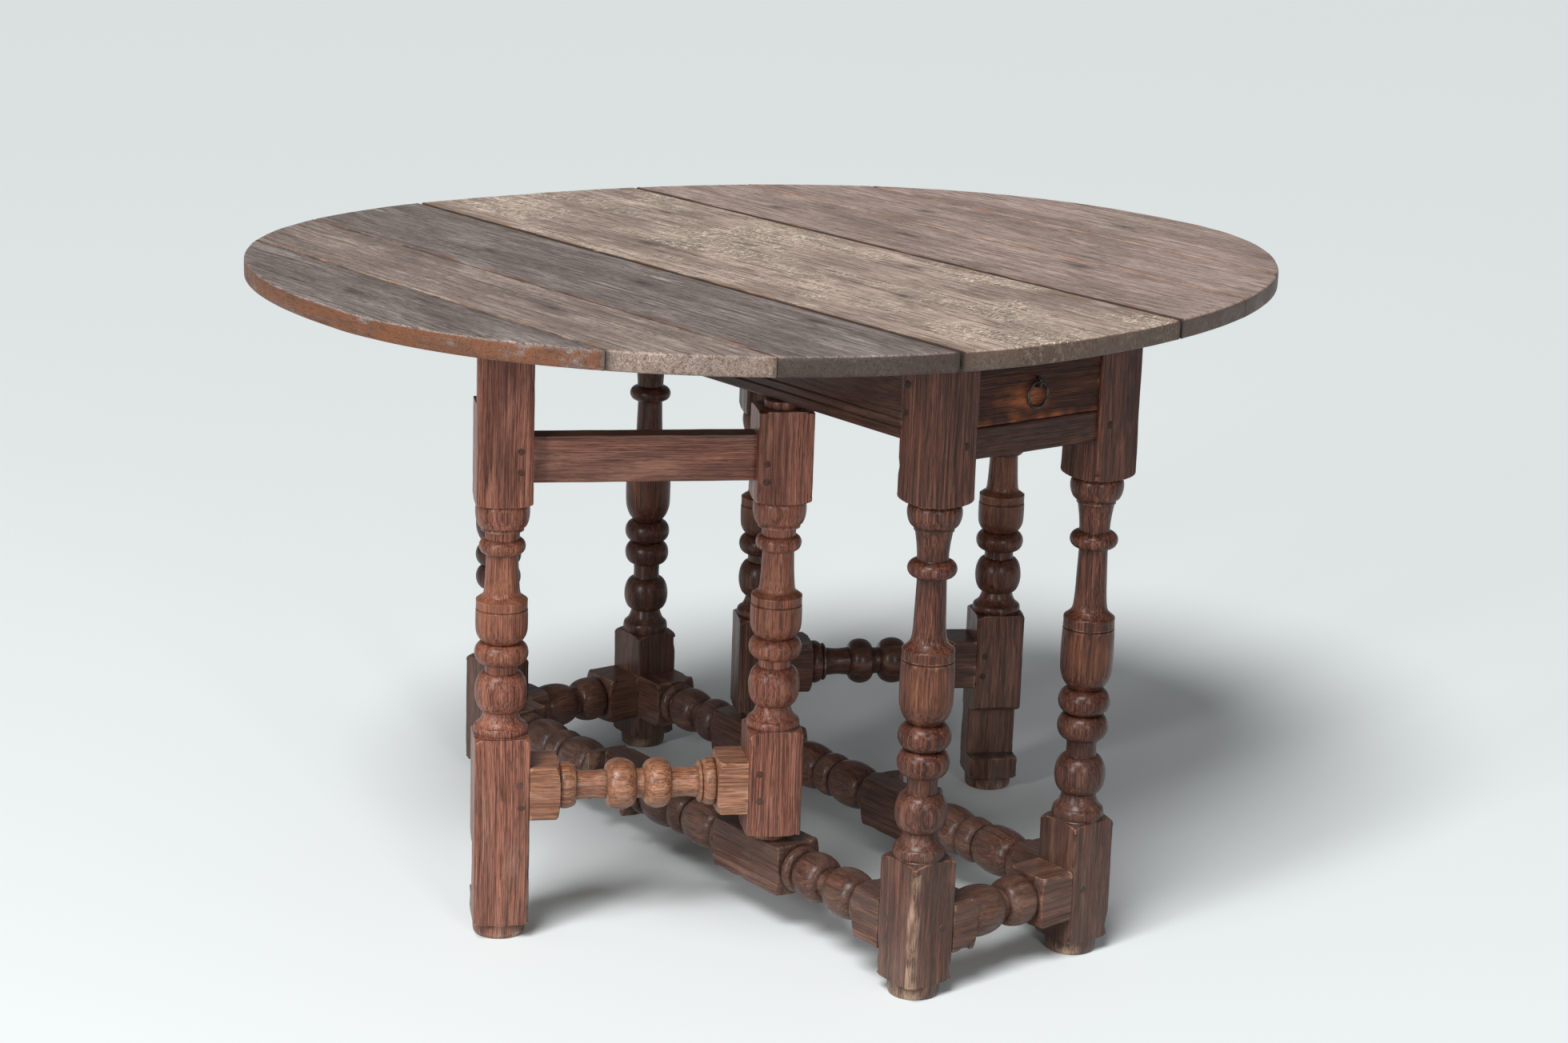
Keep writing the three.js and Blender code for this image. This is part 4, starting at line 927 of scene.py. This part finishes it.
def gate(side):
    pivot = center_of(f"gate_{side}_pivot_post")
    outer = center_of(f"gate_{side}_outer_leg")
    ahead = Vector((outer.x - pivot.x, outer.y - pivot.y, 0))
    reach = ahead.length / MM
    ahead.normalize()
    right = Vector((ahead.y, -ahead.x, 0))
    turn = Matrix((right, ahead, Vector((0, 0, 1)))).transposed().to_4x4()
    base = Matrix.Translation((pivot.x, pivot.y, 0)) @ turn
    body = f"gate_{side}"
    near = side == "left"
    # The gate on the lit side gets lighter copies of the oak as painted light; the other keeps the frame's oak.
    look = "gate_red" if near else "frame_dark"
    stretcher_low, stretcher_high = (c.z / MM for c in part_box("long_stretcher_left"))
    apron_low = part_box("side_apron_left")[0].z / MM
    rail_low, rail_high = corners(f"gate_{side}_top_rail")
    rail_low, rail_high = rail_low[2], rail_high[2]
    half = GATE_HALF
    leg_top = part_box(f"gate_{side}_outer_leg")[1].z / MM

    def post_paint(upper):
        def paint(x, y, z):
            pale = 0.0
            if upper and z > leg_top - 27:
                pale = 0.55 + 0.5 * wobble(x * 0.12, y * 0.12, z * 0.1)
            orange = 0.30 * max(0, 1 - abs(z - 395) / 90) * (1 + wobble(x * 0.05, y * 0.05, z * 0.03))
            if z < 20:
                pale = max(pale, (1 - z / 20) * (0.4 + 0.9 * wobble(x * 0.09, y * 0.09, 2.2)))
            return (unit(pale), 0, orange, 0)
        return paint

    # Pivot post, from one collar to the other.
    post_low, post_high = stretcher_high + COLLAR_GAP, apron_low - COLLAR_GAP
    stations = [(stretcher_high + 0.5, COLLAR - 0.5), (stretcher_high + 2, COLLAR), (post_low - 0.6, COLLAR)]
    stations += [(post_low, half * 1.2), (post_low + 1.6, half * math.sqrt(2) - 1.2)]
    stations += block_run(post_low + 3, 238, half, False, True) + GATE_PROFILE
    stations += block_run(502, post_high - 3, half, True, False)
    stations += [(post_high - 1.6, half * math.sqrt(2) - 1.2), (post_high, half * 1.2)]
    stations += [(post_high + 0.6, COLLAR), (apron_low - 2, COLLAR), (apron_low - 0.6, COLLAR - 0.5)]
    member(f"gate_{side}_pivot_post_turned", stations, half, look, body, base, paint=post_paint(False),
           replaces=(f"gate_{side}_pivot_post",))

    # Outer leg, lapped for the stretcher and rebated for the apron on its +X side.
    lap = (stretcher_low - 1.5, stretcher_high + 1.5)
    rebate = apron_low - 1.5
    stations = foot_stations(half, half - 1.2) + block_run(FOOT + 5, 238, half, False, True, 6) + GATE_PROFILE
    stations += block_run(502, leg_top, half, True, False)
    stations = [s for s in stations if abs(s[0] - lap[0] + 0.5) > 3.2 and not -1.5 < s[0] - lap[1] < 9
                and not -1 < s[0] - rebate < 8]
    cuts = ((lap[0], (-3, -0.4, 0.1, 1.2)), (lap[1], (-0.8, 0.1, 2.5, 5, 8)), (rebate, (-0.6, 0.6, 6)))
    for place, steps in cuts:
        stations += [(place + step, FREE) for step in steps]
    stations.sort()

    def limits(z):
        x1 = half
        if lap[0] <= z <= lap[1]:
            x1 = half - 25
        elif lap[1] < z < lap[1] + 7:
            x1 = half - 14 * (1 - (z - lap[1]) / 7) ** 1.4
        elif z > rebate:
            x1 = -14.0
        return (-half, x1, -half, half)

    member(f"gate_{side}_outer_leg_turned", stations, half, look, body,
           base @ Matrix.Translation((0, reach * MM, 0)), limits=limits, paint=post_paint(near),
           damage=leg_damage(None, key_of(side)), replaces=(f"gate_{side}_outer_leg",))

    # Top rail and stretcher between them.
    # Along the rail's top 6 mm, under the leaf, the dark stain is painted shade.
    plank(f"gate_{side}_top_rail_worn", (-14, half - 0.2, rail_low), (14, reach - half + 0.2, rail_high), 1,
          look, body, (f"gate_{side}_top_rail",), fillet=2.0, matrix=base,
          paint=lambda x, y, z: (0.7 * (z < rail_low + 5) * (y > reach - 90) * max(0, wobble(y * 0.1, 3.1) + 0.3),
                                 0.12, 0, 0.45 * (z > rail_high - 6)))
    clear = reach - 2 * half
    centre = center_of(f"gate_{side}_stretcher").z
    stations = block_run(-0.2, 34, half, False, True, 5) + placed(GATE_REEL, 34.5, clear - 34.5)
    stations += block_run(clear - 34, clear + 0.2, half, True, False, 5)
    lying = Matrix(((1, 0, 0, 0), (0, 0, 1, half * MM), (0, -1, 0, centre), (0, 0, 0, 1)))
    # The stretcher on the lit side is made lighter as painted light.
    member(f"gate_{side}_stretcher_turned", stations, half, "gate_orange" if near else "frame_dark", body,
           base @ lying, replaces=(f"gate_{side}_stretcher",))

    # Pegs through the mortises, on the face turned outwards.
    pegs = [(21.5, 549), (21, 528.5), (18.5, 189), (17.5, 157), (reach - 17, 565), (reach - 17, 542),
            (reach - 19, 183.5), (reach - 21, 157)]
    for i, (along, z) in enumerate(pegs):
        for face in (-1, 1):
            place = base @ Vector((face * (half - 0.35) * MM, along * MM, z * MM))
            facing = turn.to_3x3() @ Vector((face, 0, 0))
            peg_head(f"gate_{side}_peg_{i + 1}_{'in' if face > 0 else 'out'}", place, facing, 4.3, look, body)


# ---------------------------------------------------------------- top

SPAN_X = (cad_bounds[1][0] - cad_bounds[0][0]) / MM
SPAN_Y = (cad_bounds[1][1] - cad_bounds[0][1]) / MM
BELLY_X, BELLY_Y = -73, -25            # the widest place of the oval
FRONT_ROUNDNESS, BACK_ROUNDNESS = 1.95, 2.33


def oval(x):
    """Front and back y of the oval top at x, both in millimetres."""
    reach = SPAN_X / 2 + (BELLY_X if x < BELLY_X else -BELLY_X)
    part = min(1.0, abs(x - BELLY_X) / reach)
    front = (SPAN_Y / 2 + BELLY_Y) * (1 - part ** FRONT_ROUNDNESS) ** (1 / FRONT_ROUNDNESS)
    back = (SPAN_Y / 2 - BELLY_Y) * (1 - part ** BACK_ROUNDNESS) ** (1 / BACK_ROUNDNESS)
    return BELLY_Y - front, BELLY_Y + back


TOP_ROWS = 110           # steps along a board's grain


def top_board(node, look, body, slices, crowd=0, paint=None, dip=0.0, trim=(0.1, 0.1)):
    """A board of the oval top: straight long edges, worn and slightly uneven rim, undulating surface.
    crowd is the side (-1 or +1) where the rim turns round to meet the long edge in a point."""
    low, high = corners(node)
    x0, x1, z0, z1 = low[0] + trim[0], high[0] - trim[1], low[2], high[2]
    if crowd > 0:
        x1 -= 0.25
    if crowd < 0:
        x0 += 0.25
    key = key_of(node)
    columns = []
    for i in range(slices + 1):
        part = i / slices
        if crowd > 0:
            part = math.sin(math.pi / 2 * part)
        elif crowd < 0:
            part = 1 - math.sin(math.pi / 2 * (1 - part))
        columns.append(x0 + (x1 - x0) * part)

    rows = TOP_ROWS

    def ragged(x, y):
        nick = max(0, wobble(x * 0.09, y * 0.09, key + 5))
        return 0.55 * (1 + wobble(x * 0.018, y * 0.018, key)) + 0.35 * nick

    # The rim, anticlockwise from the -Y end of the first column.
    rim = []
    for x in columns:
        rim.append((x, min(oval(x)[0] + ragged(x, -1000), BELLY_Y - 0.5)))
    front = len(rim)
    right_y = (rim[-1][1], max(oval(columns[-1])[1] - ragged(columns[-1], 1000), BELLY_Y + 0.5))
    for j in range(1, rows):
        rim.append((columns[-1], right_y[0] + (right_y[1] - right_y[0]) * j / rows))
    for x in reversed(columns):
        rim.append((x, max(oval(x)[1] - ragged(x, 1000), BELLY_Y + 0.5)))
    left_y = (rim[-1][1], rim[0][1])
    for j in range(1, rows):
        rim.append((columns[0], left_y[0] + (left_y[1] - left_y[0]) * j / rows))

    count = len(rim)
    outward = []
    for i in range(count):
        ax, ay = rim[i - 1]
        bx, by = rim[(i + 1) % count]
        dx, dy = bx - ax, by - ay
        size = math.hypot(dx, dy) or 1
        outward.append((dy / size, -dx / size))

    def loop(inset, z, wear_scale=1.0, wave=0.0):
        points = []
        for i, (x, y) in enumerate(rim):
            nicks = max(0, wobble(x * 0.07, y * 0.07, key + 9) - 0.25)
            worn = 1 + wear_scale * (0.55 * wobble(x * 0.03, y * 0.03, key) + 0.9 * nicks)
            nx, ny = outward[i]
            points.append((x - nx * inset * worn, y - ny * inset * worn, z - wave * (worn - 1)))
        return points

    edge_below = ((2.6, 0.05, 0.4), (1.0, 0.35, 0.4), (0.35, 1.3, 0.4), (0.1, 3.5), (0.0, 8.5))
    edge_above = ((0.05, 8), (0.12, 5), (0.45, 2.6, 1, 0.6), (1.2, 1.15, 1, 0.4), (2.3, 0.5, 1, 0.15),
                  (3.8, 0.25, 1))
    loops = [loop(inset, z0 + z, *more) for inset, z, *more in edge_below]
    loops += [loop(inset, z1 - z, *more) for inset, z, *more in edge_above]
    vertices, faces = skin(loops, closed_ends=False)
    faces.append(tuple(reversed(range(count))))

    # The upper surface is a grid whose border is the last loop.
    last = (len(loops) - 1) * count
    cols = len(columns)
    index = {}
    for i in range(cols):
        index[i, 0] = last + i
        index[i, rows] = last + front + (rows - 1) + (cols - 1 - i)
    for j in range(1, rows):
        index[cols - 1, j] = last + front + j - 1
        index[0, j] = last + front + (rows - 1) + cols + (rows - 1 - j)
    for i in range(1, cols - 1):
        bottom, top = vertices[index[i, 0]], vertices[index[i, rows]]
        for j in range(1, rows):
            t = j / rows
            x = bottom[0] + (top[0] - bottom[0]) * t
            y = bottom[1] + (top[1] - bottom[1]) * t
            across = (x - (x0 + x1) / 2) / max(1.0, (x1 - x0) / 2)
            z = z1 - 0.25 - dip * (1 - across * across)
            z += 0.16 * wobble(x * 0.012, y * 0.006, key) + 0.07 * wobble(x * 0.05, y * 0.02, key + 3)
            index[i, j] = len(vertices)
            vertices.append((x, y, min(z, z1 - 0.02)))
    for i in range(cols - 1):
        for j in range(rows):
            faces.append((index[i, j], index[i + 1, j], index[i + 1, j + 1], index[i, j + 1]))
    make_piece(node + "_worn", vertices, faces, look, body, (node,), grain=lambda x, y, z: (z, x, y),
               paint=paint, sharp=40)


# Knots and dark bruises on the upper face, as (x, y, radius along x, radius along y).
KNOTS = [(-95, 150, 13, 34), (60, 330, 10, 30), (-40, -260, 9, 26), (90, -120, 8, 22), (10, 90, 7, 18),
         (-250, -60, 12, 40), (-290, 190, 9, 24), (-420, -140, 10, 30), (-560, 40, 10, 26),
         (-215, -330, 11, 30),
         (230, 60, 10, 32), (270, -210, 12, 30), (370, 190, 9, 28), (520, -20, 9, 30), (215, 300, 12, 26)]
JOINT_TRIM = {"left": 1.0, "right": 0.3}     # worn back from each leaf joint, which opens its dark line
RIM_FACE = 2.0       # the rim starts this far below the upper face


def table_top():
    z_top = cad_bounds[1][2] / MM

    def seam_paint(joints, seams, face):
        def paint(x, y, z):
            gap = min((abs(x - s) for s in joints), default=99)
            seam = min((abs(x - s) for s in seams), default=99)
            stain = max(unit((4.0 - gap) / 1.6), 0.9 * unit((2.1 - seam) / 1.2))
            lip = max(0, 1 - abs(min(gap, seam) - 5) / 5)
            orange = lip * max(0, 0.35 + 1.3 * wobble(x * 0.1, y * 0.02))
            pale = 0.7 * lip * max(0, wobble(x * 0.3, y * 0.035, 4.4) - 0.2)
            if z > z_top - RIM_FACE:
                for kx, ky, rx, ry in KNOTS:
                    near = math.hypot((x - kx) / rx, (y - ky) / ry)
                    stain = max(stain, 0.75 * max(0, 1 - near) + 0.2 * max(0, 1 - near / 2.4))
                stain = max(stain, 0.3 * max(0, wobble(x * 0.02, y * 0.011, 8.1)))
                scratch = wobble(x * 0.11 + y * 0.02, y * 0.013, 12.5)
                pale = max(pale, 1.4 * max(0, scratch - 0.42))
            else:
                rim_pale, rim_orange, rim_stain = face(x, y, z)
                pale, orange, stain = max(pale, rim_pale), max(orange, rim_orange), max(stain, rim_stain)
            return (min(1, pale), 0, min(1, orange), min(1, stain))
        return paint

    def brown_rim(x, y, z):
        spot = max(0, wobble(x * 0.07, y * 0.07, z * 0.2) - 0.42) * 3
        return (spot, 0.4, 0.80)

    def orange_rim(x, y, z):
        return (0.0, 1.0, 0.12 + 0.5 * max(0, wobble(x * 0.03, y * 0.03, z * 0.1)))

    def sawn_rim_and_sheen(x, y, z):
        # The rim is paled in lines: saw marks, and a painted sheen of reflected light.
        saw = 0.5 + 0.5 * wobble(x * 0.35, y * 0.35, 6.0)
        return (0.10 + 0.30 * saw, 0.15, 0.22)

    low, high = corners("top_centre_board")
    top_board("top_centre_board", "top_fleck", "frame", 60, dip=0.25,
              trim=(JOINT_TRIM["left"], JOINT_TRIM["right"]), paint=seam_paint([low[0], high[0]], [], brown_rim))
    for side, way in (("left", -1), ("right", 1)):
        body = f"leaf_{side}"
        inner, middle, outer = (corners(f"leaf_{side}_{b}_board") for b in ("inner", "middle", "outer"))
        joint = inner[0][0] if way > 0 else inner[1][0]
        seams = [inner[1][0], middle[1][0]] if way > 0 else [inner[0][0], middle[0][0]]
        looks = ("top_red", "top_red", "top_red") if way > 0 else ("top_dark", "top_grey", "top_dark")
        faces = (brown_rim,) * 3 if way > 0 else (brown_rim, sawn_rim_and_sheen, orange_rim)
        trim = (JOINT_TRIM[side], 0.3) if way > 0 else (0.3, JOINT_TRIM[side])
        for name, look, face, slices, crowd, dip in zip(
                ("inner", "middle", "outer"), looks, faces, (26, 24, 34), (0, 0, way), (0.2, 0.15, 0.1)):
            top_board(f"leaf_{side}_{name}_board", look, body, slices, crowd=crowd, dip=dip,
                      paint=seam_paint([joint], seams, face), trim=trim if name == "inner" else (0.3, 0.3))


# ---------------------------------------------------------------- drawer and ironwork


def drawer():
    low, high = corners("drawer_front")
    ring = center_of("pull_ring") / MM

    def paint(x, y, z):
        # The wax is rubbed through around the ring, mostly to its left, and along the bottom edge.
        spot = math.hypot((x - ring.x + 18) / 38, (z - ring.z + 4) / 14) + 0.5 * wobble(x * 0.07, z * 0.09, 3.0)
        orange = 1.2 * max(0, 1.2 - spot) + max(0, 1 - abs(z - low[2] - 2) / 6) * (0.5 + wobble(x * 0.08, 1.7))
        orange += max(0, 1 - abs(z - high[2] + 8) / 8) * max(0, wobble(x * 0.04, 5.5) + 0.1)
        return (0.25 * max(0, 1 - spot * 1.6), 0, unit(orange), 0.12)

    plank("drawer_front_worn", low, high, 0, "drawer_dark", "drawer", ("drawer_front",), fillet=1.4, pitch=3,
          paint=paint)
    for node, along, fillet in (("drawer_side_left", 1, 1.2), ("drawer_side_right", 1, 1.2),
                                ("drawer_back", 0, 1.2), ("drawer_bottom", 1, 1.0)):
        low, high = corners(node)
        plank(node + "_board", low, high, along, "inner_dry", "drawer", (node,), fillet=fillet)


def ironwork():
    low, high = corners("pull_ring")
    centre = [(a + b) / 2 for a, b in zip(low, high)]
    wire = (high[1] - low[1]) / 2
    radius = (high[2] - low[2]) / 2 - wire
    path = []
    steps = 64
    for i in range(steps):
        a = 2 * math.pi * i / steps
        r = radius * (1 + 0.012 * math.sin(2 * a + 0.7))
        path.append((centre[0] + r * math.sin(a), centre[1], centre[2] + r * math.cos(a)))
    rings = []
    sides = 14
    for i in range(steps):
        out = Vector((path[i][0] - centre[0], 0, path[i][2] - centre[2])).normalized()
        thick = wire * (0.94 + 0.06 * wobble(i * 0.3, 2.0) - 0.10 * math.cos(2 * math.pi * i / steps))
        rings.append([tuple(Vector(path[i]) + thick * (math.cos(b) * out + math.sin(b) * Vector((0, 1, 0))))
                      for b in (2 * math.pi * k / sides for k in range(sides))])
    vertices = [p for ring_points in rings for p in ring_points]
    faces = []
    for i in range(steps):
        here, ahead = i * sides, (i + 1) % steps * sides
        for k in range(sides):
            after = (k + 1) % sides
            faces.append((here + k, ahead + k, ahead + after, here + after))
    make_piece("pull_ring_forged", vertices, faces, "iron", "pull_ring", ("pull_ring",))

    # Hand-made nails in the leaf hinges, seen from below.
    for side in ("left", "right"):
        for end in ("front", "back"):
            for plate, body in (("fixed", "frame"), ("leaf", f"leaf_{side}")):
                low, high = corners(f"hinge_{side}_{end}_{plate}_plate")
                inward = 1 if (side == "left") == (plate == "fixed") else -1
                spots = [0.28] if plate == "fixed" else [0.3, 0.82]
                vertices, faces = [], []
                for spot in spots:
                    for row in (0.2, 0.8):
                        edge = high[0] if inward > 0 else low[0]
                        x = edge - inward * (high[0] - low[0]) * (spot if plate == "fixed" else 1 - spot)
                        y = low[1] + (high[1] - low[1]) * row
                        top = high[2] - 1.8
                        shape = ((2.9, top + 0.2), (2.9, top - 0.2), (2.4, top - 0.8), (1.4, top - 1.2),
                                 (0.5, top - 1.3))
                        head = [[(x + r * math.cos(a), y + r * math.sin(a) * 0.9, z) for a in
                                 (-2 * math.pi * k / 10 for k in range(10))] for r, z in shape]
                        more, closed = skin(head)
                        faces += [tuple(len(vertices) + k for k in face) for face in closed]
                        vertices += more
                make_piece(f"hinge_{side}_{end}_{plate}_nails", vertices, faces, "iron", body)


def cad_looks():
    """CAD nodes whose shape is right keep it and get a finished material."""
    for name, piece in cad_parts.items():
        if name.startswith("hinge_") or name == "pull_staple":
            look = "iron"
        elif name.startswith("drawer_runner"):
            look = "inner_dry"
        else:
            continue
        mesh = piece.data
        slot, material = LOOKS[look]
        if look == "inner_dry":
            woods = [c for v in mesh.vertices for c in (v.co.x, v.co.z, v.co.y)]
            mesh.attributes.new("grain", "FLOAT_VECTOR", "POINT").data.foreach_set("vector", woods)
        for item in piece.material_slots:
            item.material = material


add_camera()
add_studio()
for end_name in ("front", "back"):
    for side_name in ("left", "right"):
        worn = 2 if (end_name, side_name) == ("front", "left") else None
        frame_leg(f"leg_{end_name}_{side_name}", worn_corner=worn)
    end_stretcher(end_name)
for side_name in ("left", "right"):
    long_stretcher(side_name)
    gate(side_name)
frame_rails()
frame_pegs()
table_top()
drawer()
ironwork()
cad_looks()
